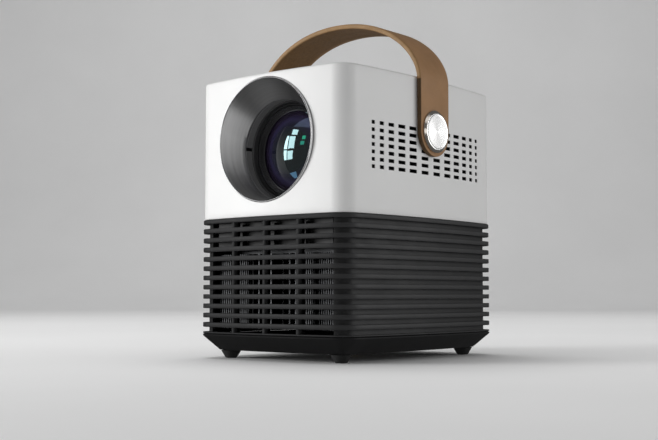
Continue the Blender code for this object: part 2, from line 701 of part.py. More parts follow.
def make_light_source(mats):
    def plan(half, z):
        return [Vector((sx * half * MM, MIRROR_Y + sy * half * 0.8 * MM, z * MM))
                for sx, sy in ((-1, -1), (1, -1), (1, 1), (-1, 1))]

    rings = [plan(11, 74.2), plan(28, 81.9), plan(29.5, 81.9), plan(12.5, 74.2)]
    loft("reflector_cup", rings, mats["bright_metal"], closed=True, origin=(0, MIRROR_Y, 74 * MM))
    board = box("led_board", (-16 * MM, MIRROR_Y - 16 * MM, 71.3 * MM),
                (16 * MM, MIRROR_Y + 16 * MM, 72.9 * MM), mats["board"])
    chip = box("led_chip", (-8 * MM, MIRROR_Y - 8 * MM, 72.4 * MM),
               (8 * MM, MIRROR_Y + 8 * MM, 73.6 * MM), None)
    weld(board, chip)


def make_heat_sink(mat):
    """A plate with fins hanging from it: close ones at both sides, wide ones in the middle."""
    sink = box("heat_sink", (-SINK_HALF, SINK_FRONT, SINK_PLATE), (SINK_HALF, SINK_REAR, SINK_TOP), mat)
    fins = []
    for side in (-1, 1):
        for k in range(FINE_COUNT):
            fins.append((side * (FINE_START + k * FINE_PITCH), FINE_HALF_THICK))
    for start, count in zip(WIDE_STARTS, WIDE_COUNTS):
        for k in range(count):
            fins.append((start + k * WIDE_PITCH, WIDE_HALF_THICK))
    rear, root = SINK_REAR - 0.5 * MM, SINK_PLATE + 0.5 * MM
    weld(sink, boxes("sink_fins", [((x - half, FINS_FRONT, FINS_LOW), (x + half, rear, root))
                                   for x, half in fins]))


def make_front_baffle(mat):
    """Light baffle behind the top three rows of the front grille."""
    plate = box("front_baffle", (-BAFFLE_HALF, BAFFLE_FRONT, BAFFLE_LOW),
                (BAFFLE_HALF, BAFFLE_REAR, BAFFLE_HIGH), mat)
    low, high = BAFFLE_LOW + BAFFLE_EDGE, BAFFLE_HIGH - BAFFLE_EDGE
    slots = [((left * MM, BAFFLE_FRONT - 1 * MM, low), (right * MM, BAFFLE_REAR + 1 * MM, high))
             for left, right in BAFFLE_SLOTS]
    cut(plate, boxes("baffle_cut", slots))


# ---- fan --------------------------------------------------------------------
def make_fan(mats):
    half = FAN_SIZE / 2
    hub_place = (0, FAN_Y, FAN_Z)
    frame = box("fan_frame", (-half, FAN_Y - FAN_THICK / 2, FAN_Z - half),
                (half, FAN_Y + FAN_THICK / 2, FAN_Z + half), mats["black_plastic"])
    bore = turned("fan_bore", "Y", hub_place, [(FAN_BORE, -10 * MM), (FAN_BORE, 10 * MM)], None, 28)
    cut(frame, bore)
    long, wide = 29.5 * MM, 1.5 * MM
    arms = [((-long, FAN_Y + 5.6 * MM, FAN_Z - wide), (long, FAN_Y + 7.4 * MM, FAN_Z + wide)),
            ((-wide, FAN_Y + 5.8 * MM, FAN_Z - long), (wide, FAN_Y + 7.2 * MM, FAN_Z + long))]
    for i, pair in enumerate(arms):
        weld(frame, boxes("fan_arm_%d" % i, [pair]))
    seat = turned("fan_seat", "Y", hub_place, [(11 * MM, 5.4 * MM), (11 * MM, 7.5 * MM)], None, 24)
    weld(frame, seat)
    rotor = turned("fan_rotor", "Y", hub_place, [(11 * MM, 4.6 * MM), (11.4 * MM, 4.0 * MM),
                                                 (11.4 * MM, -6 * MM), (10.4 * MM, -7 * MM)],
                   mats["black_plastic"], 24)
    shift = Vector(hub_place) - Vector((0, BLADE_FORWARD, 0))
    span, thin = BLADE_HALF_CHORD, BLADE_HALF_THICK
    corners = ((-span, -thin), (span, -thin), (span, thin), (-span, thin))
    bm = bmesh.new()
    for blade in range(BLADE_COUNT):
        turn = 2 * math.pi * blade / BLADE_COUNT
        rings = []
        for r, sweep, pitch in ((BLADE_ROOT, 0.0, 0.55), (BLADE_TIP, 0.3, 0.95)):
            middle = Vector((r * math.cos(turn + sweep), 0, r * math.sin(turn + sweep)))
            tangent = Vector((-math.sin(turn + sweep), 0, math.cos(turn + sweep)))
            chord = tangent * math.sin(pitch) + Vector((0, math.cos(pitch), 0))
            thick = tangent * math.cos(pitch) - Vector((0, math.sin(pitch), 0))
            rings.append([shift + middle + chord * a + thick * b for a, b in corners])
        skin(bm, rings, False)
    bmesh.ops.triangulate(bm, faces=bm.faces)
    weld(rotor, link("fan_blades", bm, None))


# ---- electronics ------------------------------------------------------------
def make_rear(mats):
    panel = box("port_panel", (PANEL_EASE - PANEL_HALF, PANEL_FRONT, PANEL_LOW + PANEL_EASE),
                (PANEL_HALF - PANEL_EASE, PANEL_REAR, PANEL_HIGH - PANEL_EASE), mats["dark_plastic"])
    for name, x, z, half_x, half_z in PORTS:
        low = ((x - half_x) * MM, 70 * MM, (z - half_z) * MM)
        high = ((x + half_x) * MM, 90 * MM, (z + half_z) * MM)
        cut(panel, box(name + "_cut", low, high, None))
        front_y = 76.5 * MM if name == "ir_window" else BOARD_REAR + GAP
        shell = box(name, (low[0] + GAP, front_y, low[2] + GAP),
                    (high[0] - GAP, PANEL_REAR - 0.2 * MM, high[2] - GAP),
                    mats["smoked"] if name == "ir_window" else mats["bright_metal"])
        if name == "ir_window":
            continue
        if name in ("dc_jack", "av_jack"):
            bore = turned(name + "_bore", "Y", (x * MM, 76 * MM, z * MM),
                          [((half_x - 1.6) * MM, -3 * MM), ((half_x - 1.6) * MM, 8 * MM)], None, 20)
            cut(shell, bore)
        else:
            cut(shell, box(name + "_mouth", (low[0] + 1 * MM, 73 * MM, low[2] + 1 * MM),
                           (high[0] - 1 * MM, 84 * MM, high[2] - 1 * MM), None))
            weld(shell, box(name + "_tongue", (low[0] + 2.4 * MM, 72 * MM, (z - 0.5) * MM),
                            (high[0] - 2.4 * MM, 80.2 * MM, (z + 0.5) * MM), None))
    board = box("main_board", (-48 * MM, BOARD_REAR - BOARD_THICK, 93 * MM),
                (48 * MM, BOARD_REAR, 160 * MM), mats["board"])
    parts = boxes("board_parts", (
        ((-12 * MM, 64.6 * MM, 126 * MM), (12 * MM, 69 * MM, 150 * MM)),
        ((-40 * MM, 62.6 * MM, 124 * MM), (-28 * MM, 69 * MM, 136 * MM)),
        ((24 * MM, 65.6 * MM, 130 * MM), (38 * MM, 69 * MM, 142 * MM)),
    ))
    weld(board, parts)


def make_speakers(mat):
    for name, side in (("speaker_left", -1), ("speaker_right", 1)):
        profile = [(9 * MM, 45 * MM), (9 * MM, 49 * MM), (17.5 * MM, 56 * MM), (18 * MM, 57.6 * MM),
                   (15.5 * MM, 57.6 * MM), (6 * MM, 54.5 * MM)]
        rings = [circle("X", (side * h, SPEAKER_Y, SPEAKER_Z), r, 16) for r, h in profile]
        loft(name, rings, mat, origin=(side * 50 * MM, SPEAKER_Y, SPEAKER_Z))


# ---- strap ------------------------------------------------------------------
def bezier(points, t):
    a, b, c, d = points
    return a * (1 - t) ** 3 + b * 3 * (1 - t) ** 2 * t + c * 3 * (1 - t) * t ** 2 + d * t ** 3


def strap_line(inset, steps=10):
    """Outer line of the strap in XZ, right leg to left leg, moved inwards by inset."""
    control = [Vector((STRAP_X, ARCH_FOOT)), Vector((STRAP_X, ARCH_FOOT + ARCH_RISE)),
               Vector((ARCH_FLAT, ARCH_TOP)), Vector((0, ARCH_TOP))]
    half = []
    for step in range(steps + 1):
        t = step / steps
        near, far = bezier(control, max(t - 0.01, 0)), bezier(control, min(t + 0.01, 1))
        along = (far - near).normalized()
        half.append(bezier(control, t) + Vector((-along.y, along.x)) * inset)
    half.insert(0, Vector((STRAP_X - inset, PIVOT_Z)))
    return half + [Vector((-p.x, p.y)) for p in reversed(half[:-1])]


def make_strap(mat, pivot):
    half = STRAP_WIDTH / 2
    outer, inner = strap_line(0), strap_line(STRAP_THICK)
    rings = []
    for o, i in zip(outer, inner):
        rings.append([Vector((o.x, -half, o.y)), Vector((o.x, half, o.y)),
                      Vector((i.x, half, i.y)), Vector((i.x, -half, i.y))])
    end_steps = 10
    bm = bmesh.new()
    skin(bm, rings, False)
    strap = link("strap", bm, mat, (0, 0, PIVOT_Z))
    for name, side in (("strap_end_right", 1), ("strap_end_left", -1)):
        plan = [Vector((0, half * math.cos(t), PIVOT_Z + half * math.sin(t)))
                for t in (-math.pi * k / end_steps for k in range(end_steps + 1))]
        plan = [Vector((0, -half, PIVOT_Z + 4 * MM))] + list(reversed(plan))
        plan.append(Vector((0, half, PIVOT_Z + 4 * MM)))
        ends = [[p + Vector((side * x, 0, 0)) for p in plan] for x in (STRAP_X - STRAP_THICK, STRAP_X)]
        weld(strap, loft(name, ends, None, sharp=60))
    bore = turned("strap_bore", "X", (0, 0, PIVOT_Z),
                  [(STUD_R + GAP, -ACROSS), (STUD_R + GAP, ACROSS)], None, 20)
    cut(strap, bore)
    parent_to(strap, pivot)


def make_studs(mats):
    for name, side in (("left", -1), ("right", 1)):
        cap_in = STRAP_X + GAP
        profile = [(CAP_R, cap_in), (CAP_R, cap_in + 0.5 * MM), (10.7 * MM, CAP_X), (9.9 * MM, CAP_X),
                   (9.6 * MM, CAP_X - 0.2 * MM), (0.4 * MM, CAP_X - 0.2 * MM)]
        shank = [(0.4 * MM, STUD_END), (STUD_R, STUD_END), (STUD_R, cap_in)]
        rings = [circle("X", (side * x, 0, PIVOT_Z), r, 20) for r, x in shank + profile]
        loft("rivet_cap_" + name, rings, mats["satin_metal"], origin=(side * STRAP_X, 0, PIVOT_Z))
        bore, nut_in, nut_out = STUD_R + 0.1 * MM, STUD_END + 1 * MM, STUD_END + 1 * MM + NUT_THICK
        nut = [(bore, nut_in), (NUT_R, nut_in), (NUT_R, nut_out), (bore, nut_out)]
        rings = [circle("X", (side * x, 0, PIVOT_Z), r, 16) for r, x in nut]
        loft("stud_nut_" + name, rings, mats["bright_metal"], closed=True,
             origin=(side * 60 * MM, 0, PIVOT_Z))


def main():
    clear_scene()
    mats = {
        "white_plastic": finish("white_plastic", (0.86, 0.86, 0.86), 0.45),
        "dark_plastic": finish("dark_plastic", (0.045, 0.045, 0.047), 0.5),
        "black_plastic": finish("black_plastic", (0.015, 0.015, 0.015), 0.55),
        "funnel_plastic": finish("funnel_plastic", (0.09, 0.09, 0.09), 0.35, 0.3),
        "satin_metal": finish("satin_metal", (0.83, 0.83, 0.84), 0.25, 1.0),
        "bright_metal": finish("bright_metal", (0.75, 0.75, 0.76), 0.3, 1.0),
        "brass": finish("brass", (0.72, 0.55, 0.25), 0.35, 1.0),
        "aluminium": finish("aluminium", (0.55, 0.56, 0.57), 0.4, 1.0),
        "leather": finish("leather", (0.32, 0.18, 0.09), 0.6),
        "rubber": finish("rubber", (0.02, 0.02, 0.02), 0.8),
        "lens_glass": finish("lens_glass", (0.10, 0.08, 0.20), 0.03),
        "clear": finish("clear", (0.8, 0.85, 0.85), 0.1),
        "panel_glass": finish("panel_glass", (0.05, 0.06, 0.07), 0.15),
        "mirror": finish("mirror", (0.9, 0.9, 0.9), 0.03, 1.0),
        "smoked": finish("smoked", (0.03, 0.01, 0.015), 0.1),
        "board": finish("board", (0.03, 0.15, 0.06), 0.5),
        "key_plastic": finish("key_plastic", (0.10, 0.10, 0.105), 0.45),
        "cone_paper": finish("cone_paper", (0.04, 0.04, 0.04), 0.8),
    }
    keys = key_shapes()
    make_upper_shell(mats["white_plastic"])
    make_top_cover(mats["white_plastic"], keys)
    make_louvred_base(mats["dark_plastic"])
    make_tray(mats["dark_plastic"])
    make_feet(mats["rubber"])
    make_tray_screws(mats["bright_metal"])
    make_tripod_insert(mats["brass"])
    make_keys(keys, mats["key_plastic"])
    make_key_board(mats["board"], keys)
    make_rim_ring(mats["satin_metal"])
    make_funnel(mats["funnel_plastic"])
    make_focus_ring(mats["black_plastic"])
    make_lens_mount(mats["black_plastic"])
    make_barrel(mats["black_plastic"])
    make_lenses(mats["lens_glass"])
    make_light_box(mats["black_plastic"])
    make_mirror(mats["mirror"])
    make_panel_stack(mats)
    make_light_source(mats)
    make_heat_sink(mats["aluminium"])
    make_front_baffle(mats["dark_plastic"])
    make_fan(mats)
    make_rear(mats)
    make_speakers(mats["cone_paper"])
    make_strap(mats["leather"], joint_empty("handle_axis", (0, 0, PIVOT_Z)))
    make_studs(mats)


main()
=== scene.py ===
import math

import bmesh
import bpy
from mathutils import Matrix, Vector


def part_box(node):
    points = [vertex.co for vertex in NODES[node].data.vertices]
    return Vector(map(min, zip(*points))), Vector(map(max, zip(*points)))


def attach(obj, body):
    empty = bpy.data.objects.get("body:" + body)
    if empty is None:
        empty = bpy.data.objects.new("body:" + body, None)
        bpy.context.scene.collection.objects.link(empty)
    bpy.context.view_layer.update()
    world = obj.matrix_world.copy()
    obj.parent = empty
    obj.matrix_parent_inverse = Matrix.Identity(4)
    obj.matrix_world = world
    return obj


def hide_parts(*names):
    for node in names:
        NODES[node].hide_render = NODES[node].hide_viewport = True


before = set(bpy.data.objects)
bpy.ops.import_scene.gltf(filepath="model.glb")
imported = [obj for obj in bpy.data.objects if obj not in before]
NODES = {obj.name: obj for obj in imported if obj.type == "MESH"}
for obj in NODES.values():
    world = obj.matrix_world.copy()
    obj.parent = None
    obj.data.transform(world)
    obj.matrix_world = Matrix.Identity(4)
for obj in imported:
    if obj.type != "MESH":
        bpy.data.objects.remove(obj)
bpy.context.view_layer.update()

MM = 0.001

# ---- sizes shared with the frame --------------------------------------------
SHELL_LOW, SHELL_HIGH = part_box("upper_shell")
BASE_LOW, BASE_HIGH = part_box("louvred_base")
RING_LOW, RING_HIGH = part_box("rim_ring")
MOUNT_LOW, MOUNT_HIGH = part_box("lens_mount")
BARREL_LOW, BARREL_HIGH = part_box("lens_barrel")
PANEL_LOW, PANEL_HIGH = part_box("port_panel")

WIDTH = SHELL_HIGH[0] - SHELL_LOW[0]
DEPTH = SHELL_HIGH[1] - SHELL_LOW[1]
SIDE = WIDTH / 2
FRONT = -DEPTH / 2
CORNER = 10.4 * MM                  # vertical corner radius
CROWN_FRONT = 4.3 * MM              # how far front and rear faces bulge
CROWN_SIDE = 4.9 * MM               # how far the side faces bulge
GAP = 0.3 * MM                      # clearance between pieces that touch
EDGE_SOFT = 0.3 * MM                # moulded edges are rounded this far in
EDGE_BEND = 0.09 * MM               # and pass this close to the sharp edge
SEAM_Z = SHELL_LOW[2]
TOP_Z = SHELL_HIGH[2]
LENS_Z = (MOUNT_LOW[2] + MOUNT_HIGH[2]) / 2
MOUTH_Z = (RING_LOW[2] + RING_HIGH[2]) / 2
RING_OUT = (RING_HIGH[2] - RING_LOW[2]) / 2
RING_IN = RING_OUT - 0.8 * MM
GLASS_R = 25.4 * MM
THROAT_R = 31.2 * MM                # narrow end of the funnel
DRUM_BORE = THROAT_R - 0.1 * MM     # the focus ring's wall, seen past the funnel
PIVOT_Z = 141.0 * MM                # axis of the rivets
CAP_R = 13.2 * MM                   # rivet cap

CORNER_STEPS = 12
ROUND_STEPS = 128
FINE_STEPS = 192                    # round the large lens pieces


# ---- node material helpers --------------------------------------------------
class Paint:
    """A node material built up from small steps, all from object coordinates."""

    def __init__(self, name):
        self.mat = bpy.data.materials.new(name)
        self.mat.use_nodes = True
        self.tree = self.mat.node_tree
        self.shader = self.tree.nodes["Principled BSDF"]
        self.coords = self.tree.nodes.new("ShaderNodeTexCoord")

    def set(self, **values):
        for key, value in values.items():
            self.shader.inputs[key.replace("_", " ")].default_value = value

    def stretched(self, scale):
        """Object coordinates with a scale of their own along each axis."""
        node = self.tree.nodes.new("ShaderNodeMapping")
        node.inputs["Scale"].default_value = scale
        self.tree.links.new(self.coords.outputs["Object"], node.inputs["Vector"])
        return node.outputs["Vector"]

    def noise(self, scale, detail=3.0, rough=0.5, vector=None):
        node = self.tree.nodes.new("ShaderNodeTexNoise")
        node.inputs["Scale"].default_value = scale
        node.inputs["Detail"].default_value = detail
        node.inputs["Roughness"].default_value = rough
        self.tree.links.new(vector or self.coords.outputs["Object"], node.inputs["Vector"])
        return node.outputs["Fac"]

    def cells(self, scale):
        node = self.tree.nodes.new("ShaderNodeTexVoronoi")
        node.feature = "SMOOTH_F1"
        node.inputs["Scale"].default_value = scale
        self.tree.links.new(self.coords.outputs["Object"], node.inputs["Vector"])
        return node.outputs["Distance"]

    def math(self, operation, value, number):
        node = self.tree.nodes.new("ShaderNodeMath")
        node.operation = operation
        node.inputs[1].default_value = number
        self.tree.links.new(value, node.inputs[0])
        return node.outputs[0]

    def ramp(self, value, stops):
        """Colours at places along a value, evenly blended between them."""
        node = self.tree.nodes.new("ShaderNodeValToRGB")
        elements = node.color_ramp.elements
        while len(elements) < len(stops):
            elements.new(0.5)
        for element, (place, colour) in zip(elements, stops):
            element.position = place
            element.color = (*colour, 1.0)
        self.tree.links.new(value, node.inputs["Fac"])
        return node.outputs["Color"]

    def spread(self, value, low, high):
        """A noise value, which keeps near its middle, opened out to run from low to high."""
        node = self.tree.nodes.new("ShaderNodeMapRange")
        node.inputs["From Min"].default_value = 0.3
        node.inputs["From Max"].default_value = 0.7
        node.inputs["To Min"].default_value = low
        node.inputs["To Max"].default_value = high
        self.tree.links.new(value, node.inputs["Value"])
        return node.outputs["Result"]

    def mix(self, factor, first, second):
        node = self.tree.nodes.new("ShaderNodeMix")
        node.data_type = "RGBA"
        self.tree.links.new(factor, node.inputs["Factor"])
        self.tree.links.new(first, node.inputs["A"])
        self.tree.links.new(second, node.inputs["B"])
        return node.outputs["Result"]

    def attribute(self, name):
        node = self.tree.nodes.new("ShaderNodeAttribute")
        node.attribute_name = name
        return node.outputs["Fac"]

    def colour(self, value):
        self.tree.links.new(value, self.shader.inputs["Base Color"])

    def roughness(self, value):
        self.tree.links.new(value, self.shader.inputs["Roughness"])

    def bump(self, height, distance, strength=1.0, after=None):
        node = self.tree.nodes.new("ShaderNodeBump")
        node.inputs["Distance"].default_value = distance
        node.inputs["Strength"].default_value = strength
        self.tree.links.new(height, node.inputs["Height"])
        if after:
            self.tree.links.new(after, node.inputs["Normal"])
        self.tree.links.new(node.outputs["Normal"], self.shader.inputs["Normal"])
        return node.outputs["Normal"]

    def vector_math(self, operation, vector, other=(0, 0, 0)):
        node = self.tree.nodes.new("ShaderNodeVectorMath")
        node.operation = operation
        node.inputs[1].default_value = other
        self.tree.links.new(vector, node.inputs[0])
        return node.outputs["Value" if operation == "LENGTH" else "Vector"]

    def radius(self, centre, axes):
        """Distance from a line through centre, using the two axes square to it."""
        away = self.vector_math("SUBTRACT", self.coords.outputs["Object"], centre)
        return self.vector_math("LENGTH", self.vector_math("MULTIPLY", away, axes))


def mixed(colour, amount):
    """The colour made darker (below 1) or lighter (above 1)."""
    return tuple(min(1.0, c * amount) for c in colour)


def moulded(name, colour, rough, grain=1800, depth=0.04 * MM, tone=0.06, **more):
    """Moulded plastic: spark-eroded grain, slight tone drift and handling marks in the gloss."""
    paint = Paint(name)
    paint.set(**more)
    drift = paint.noise(14, 4, 0.6)
    paint.colour(paint.ramp(drift, [(0.3, mixed(colour, 1 - tone)), (0.7, mixed(colour, 1 + tone))]))
    marks = paint.noise(60, 6, 0.65)
    paint.roughness(paint.spread(marks, rough - 0.05, rough + 0.06))
    paint.bump(paint.noise(grain, 2, 0.5), depth, 0.5)
    return paint.mat


def metal(name, colour, rough, stretch=(1, 1, 1), scale=900, depth=0.01 * MM):
    """Machined metal with fine tool marks drawn out along one direction."""
    paint = Paint(name)
    paint.set(Metallic=1.0)
    marks = paint.noise(scale, 4, 0.6, paint.stretched(stretch))
    paint.colour(paint.ramp(marks, [(0.3, mixed(colour, 0.9)), (0.7, mixed(colour, 1.06))]))
    paint.roughness(paint.spread(marks, rough - 0.06, rough + 0.08))
    paint.bump(marks, depth, 0.4)
    return paint.mat


def spun(name, colour, rough, axis, strength, painted_bezel_reflection=None):
    """Turned metal: fine rings round one axis, so highlights run out along the radius.
    The bezel colour is painted on a rivet cap's outer ring: a painted reflection, darker and warmer, of the
    dark surroundings and the leather round it."""
    paint = Paint(name)
    paint.set(Metallic=1.0, Anisotropic=strength, Anisotropic_Rotation=0.25)
    tangent = paint.tree.nodes.new("ShaderNodeTangent")
    tangent.direction_type = "RADIAL"
    tangent.axis = axis
    paint.tree.links.new(tangent.outputs["Tangent"], paint.shader.inputs["Tangent"])
    stretch = {"X": (900, 6, 6), "Y": (6, 900, 6)}[axis]
    rings = paint.noise(1.0, 4, 0.6, paint.stretched(stretch))
    tone = paint.ramp(rings, [(0.3, mixed(colour, 0.88)), (0.7, mixed(colour, 1.08))])
    if painted_bezel_reflection:
        away = paint.math("MULTIPLY", paint.radius((0, 0, PIVOT_Z), (0, 1, 1)), 1 / CAP_R)
        outer = paint.ramp(rings, [(0.3, mixed(painted_bezel_reflection, 0.9)), (0.7, mixed(painted_bezel_reflection, 1.1))])
        # painted reflection: the cap's outer ring takes the bezel colour
        tone = paint.mix(paint.ramp(away, [(0.855, (0, 0, 0)), (0.875, (1, 1, 1))]), tone, outer)
    paint.colour(tone)
    paint.roughness(paint.spread(rings, rough - 0.05, rough + 0.08))
    paint.bump(rings, 0.008 * MM, 0.5)
    return paint.mat


def worn_white_and_vent_shade(name, colour):
    """Painted white moulding: fine orange peel and handling haze. Near-black where the inner-wall attribute is
    1, on the inside of the wall and the vent walls: painted shade in the vent holes.
    """
    paint = Paint(name)
    paint.set(Coat_Weight=0.12, Coat_Roughness=0.35, Specular_IOR_Level=0.45)
    drift = paint.noise(9, 5, 0.6)
    white = paint.ramp(drift, [(0.25, mixed(colour, 0.965)), (0.75, mixed(colour, 1.0))])
    # near-black painted shade for the vent walls and the inside of the wall
    black = paint.ramp(paint.noise(40, 4, 0.6), [(0.3, (0.008,) * 3), (0.7, (0.014,) * 3)])
    vent_shade_mask = paint.ramp(paint.attribute("vent_shade"), [(0.14, (0, 0, 0)), (0.22, (1, 1, 1))])
    paint.colour(paint.mix(vent_shade_mask, white, black))
    paint.roughness(paint.spread(paint.noise(35, 6, 0.7), 0.42, 0.56))
    paint.bump(paint.noise(2600, 2, 0.5), 0.03 * MM, 0.35)
    return paint.mat


def rubber(name, colour):
    """Matt rubber with a coarse skin."""
    paint = Paint(name)
    tone = paint.noise(120, 5, 0.7)
    paint.colour(paint.ramp(tone, [(0.3, mixed(colour, 0.8)), (0.75, mixed(colour, 1.3))]))
    paint.roughness(paint.spread(paint.noise(300, 4, 0.6), 0.72, 0.88))
    paint.bump(paint.noise(1500, 3, 0.6), 0.06 * MM, 0.6)
    return paint.mat


def leather(name, face, edge_colour, flesh_colour):
    """Tanned leather: pebbled grain, pores, tone drift, and a dark flesh side. The edge attribute is 1
    on the burnished edges of the arch and -1 on the edges of the legs, which get painted shade."""
    paint = Paint(name)
    paint.set(Specular_IOR_Level=0.3)
    cloud = paint.noise(26, 6, 0.62)
    tone = paint.ramp(cloud, [(0.28, mixed(face, 0.80)), (0.55, face), (0.8, mixed(face, 1.16))])
    fibres = paint.noise(700, 5, 0.7)
    flesh = paint.ramp(fibres, [(0.3, mixed(flesh_colour, 0.75)), (0.7, mixed(flesh_colour, 1.25))])
    rubbed = paint.ramp(paint.noise(220, 4, 0.6), [(0.3, mixed(edge_colour, 0.82)), (0.7, edge_colour)])
    tone = paint.mix(paint.attribute("flesh"), tone, flesh)
    edge = paint.attribute("edge")
    tone = paint.mix(edge, tone, rubbed)
    # painted shade on the legs' edges, where the edge attribute is -1
    leg_edge_shade = paint.ramp(fibres, [(0.3, mixed(flesh_colour, 0.35)), (0.7, mixed(flesh_colour, 0.55))])
    paint.colour(paint.mix(paint.math("MULTIPLY", edge, -1.0), tone, leg_edge_shade))
    paint.roughness(paint.spread(paint.noise(90, 5, 0.7), 0.48, 0.68))
    pebble = paint.bump(paint.cells(1150), 0.1 * MM, 0.55)
    paint.bump(paint.noise(3200, 2, 0.5), 0.04 * MM, 0.5, pebble)
    return paint.mat


def glass_with_painted_sheen(name, stops, rim):
    """Lens glass as an opaque coated surface. Its colour changes from the middle (0) to the rim (1): a painted
    view of the dark barrel through the glass, with a painted reflection of the coating's violet and green
    sheen.
    """
    paint = Paint(name)
    away = paint.radius((0, 0, LENS_Z), (1, 0, 1))
    paint.colour(paint.ramp(paint.math("MULTIPLY", away, 1 / rim), stops))
    smear = paint.noise(55, 5, 0.6)
    paint.roughness(paint.spread(smear, 0.02, 0.055))
    paint.set(Specular_IOR_Level=0.5, IOR=1.5, Coat_Weight=1.0, Coat_Roughness=0.015, Coat_IOR=1.5)
    return paint.mat


def stepped_drum(name, wall, well_shade, edge, slot):
    """Moulded drum with painted shade: darker inside the edge radius, beyond its step, and darkest down in its
    finger slot.
    """
    paint = Paint(name)
    away = paint.radius((0, 0, LENS_Z), (1, 0, 1))
    drift = paint.noise(60, 6, 0.65)
    outside = paint.ramp(drift, [(0.3, mixed(wall, 0.95)), (0.7, mixed(wall, 1.05))])
    inside = paint.ramp(drift, [(0.3, mixed(well_shade, 0.9)), (0.7, mixed(well_shade, 1.1))])
    # painted shade on the drum's inner band, past its step
    stepped = paint.mix(paint.math("GREATER_THAN", away, edge), inside, outside)
    slot_shade = paint.ramp(drift, [(0.3, mixed(well_shade, 0.2)), (0.7, mixed(well_shade, 0.25))])
    # painted shade down in the finger slot
    paint.colour(paint.mix(paint.math("GREATER_THAN", away, slot), stepped, slot_shade))
    paint.roughness(paint.spread(drift, 0.37, 0.48))
    paint.bump(paint.noise(1500, 3), 0.03 * MM)
    return paint.mat


# ---- the finishes, one per slot ---------------------------------------------
FINISH = {
    "white_shell": worn_white_and_vent_shade("white shell", (0.80, 0.80, 0.795)),
    "white_cover": worn_white_and_vent_shade("white cover", (0.78, 0.78, 0.775)),
    "dark_base": moulded("dark base", (0.036, 0.0363, 0.0375), 0.5, 1900, 0.06 * MM, Specular_IOR_Level=0.35),
    "dark_tray": moulded("dark tray", (0.0145, 0.0145, 0.015), 0.55, Specular_IOR_Level=0.2),
    "dark_inner": moulded("dark inner", (0.02, 0.02, 0.021), 0.6),
    "ring_metal": metal("ring metal", (0.86, 0.86, 0.87), 0.17, (60, 1, 60)),
    "funnel_satin": spun("funnel satin", (0.40, 0.40, 0.402), 0.4, "Y", 0.62),
    # focus drum: the wall colour, then a darker colour painted as shade inside its step and in its slot
    "focus_black": stepped_drum(
        "focus black", (0.17, 0.17, 0.172), (0.045, 0.045, 0.047), DRUM_BORE - 0.05 * MM, DRUM_BORE + 0.25 * MM
    ),
    "mount_black": moulded("mount black", (0.012, 0.012, 0.013), 0.55),
    "barrel_black": moulded("barrel black", (0.035, 0.035, 0.037), 0.42),
    "retainer_black": metal("retainer black", (0.14, 0.14, 0.145), 0.24, (40, 1, 40)),
    # painted reflection by radius: the coating's violet ring and green-grey middle over the dark barrel
    "front_glass": glass_with_painted_sheen(
        "front glass",
        [
            (0.0, (0.020, 0.028, 0.028)),
            (0.48, (0.020, 0.032, 0.036)),
            (0.66, (0.030, 0.030, 0.066)),
            (0.78, (0.058, 0.050, 0.130)),
            (0.90, (0.032, 0.020, 0.056)),
            (1.0, (0.014, 0.008, 0.022)),
        ],
        GLASS_R,
    ),
    # painted tint by radius, as for the front glass
    "rear_glass": glass_with_painted_sheen("rear glass", [(0, (0.02, 0.03, 0.04)), (1, (0.02, 0.01, 0.03))], 20 * MM),
    "engine_black": moulded("engine black", (0.016, 0.016, 0.017), 0.55),
    "mirror_glass": metal("mirror glass", (0.86, 0.87, 0.88), 0.08, (1, 1, 1), 200, 0.001 * MM),
    "frame_black": moulded("frame black", (0.018, 0.018, 0.019), 0.5),
    "fresnel_clear": moulded(
        "fresnel clear", (0.86, 0.90, 0.92), 0.18, 2500, 0.02 * MM, 0.02, Transmission_Weight=0.6, IOR=1.49
    ),
    "lcd_glass": moulded("lcd glass", (0.02, 0.025, 0.035), 0.12, 900, 0.004 * MM, 0.1, Coat_Weight=0.6),
    "reflector_metal": metal("reflector metal", (0.82, 0.82, 0.82), 0.16, (1, 1, 30)),
    "led_metal": metal("led metal", (0.74, 0.72, 0.62), 0.34),
    "sink_aluminium": metal("sink aluminium", (0.055, 0.056, 0.058), 0.42, (40, 1, 1), 700),
    "fan_black": moulded("fan black", (0.014, 0.014, 0.015), 0.5),
    "rotor_black": moulded("rotor black", (0.012, 0.012, 0.013), 0.44),
    "port_plastic": moulded("port plastic", (0.02, 0.02, 0.021), 0.48),
    "jack_black": moulded("jack black", (0.012, 0.012, 0.012), 0.42),
    "port_metal": metal("port metal", (0.62, 0.62, 0.62), 0.28, (1, 30, 1)),
    "ir_smoked": moulded("ir smoked", (0.018, 0.004, 0.006), 0.1, 900, 0.004 * MM, 0.1, Coat_Weight=0.8),
    "board_green": moulded("board green", (0.01, 0.09, 0.035), 0.4, 1500, 0.05 * MM, 0.25),
    "strap_leather": leather(
        "strap leather", (0.385, 0.215, 0.102), (0.345, 0.205, 0.090), (0.195, 0.109, 0.044)
    ),
    "insert_brass": metal("insert brass", (0.72, 0.53, 0.24), 0.3),
    "foot_rubber": rubber("foot rubber", (0.016, 0.016, 0.016)),
    "screw_steel": metal("screw steel", (0.42, 0.42, 0.43), 0.32),
    "key_grey": moulded("key grey", (0.56, 0.56, 0.565), 0.42, 1900, 0.03 * MM, 0.03),
    # the rivet's last colour is a painted reflection on the cap's outer ring
    "rivet_metal": spun("rivet metal", (0.88, 0.875, 0.87), 0.2, "X", 0.55, (0.72, 0.67, 0.61)),
    "speaker_black": rubber("speaker black", (0.014, 0.014, 0.014)),
}


def own_slot(node):
    """The slot a CAD node was packed with."""
    return NODES[node].data.materials[0].name.split(".")[0]


def dress(obj, name):
    obj.data.materials.clear()
    obj.data.materials.append(FINISH[name])


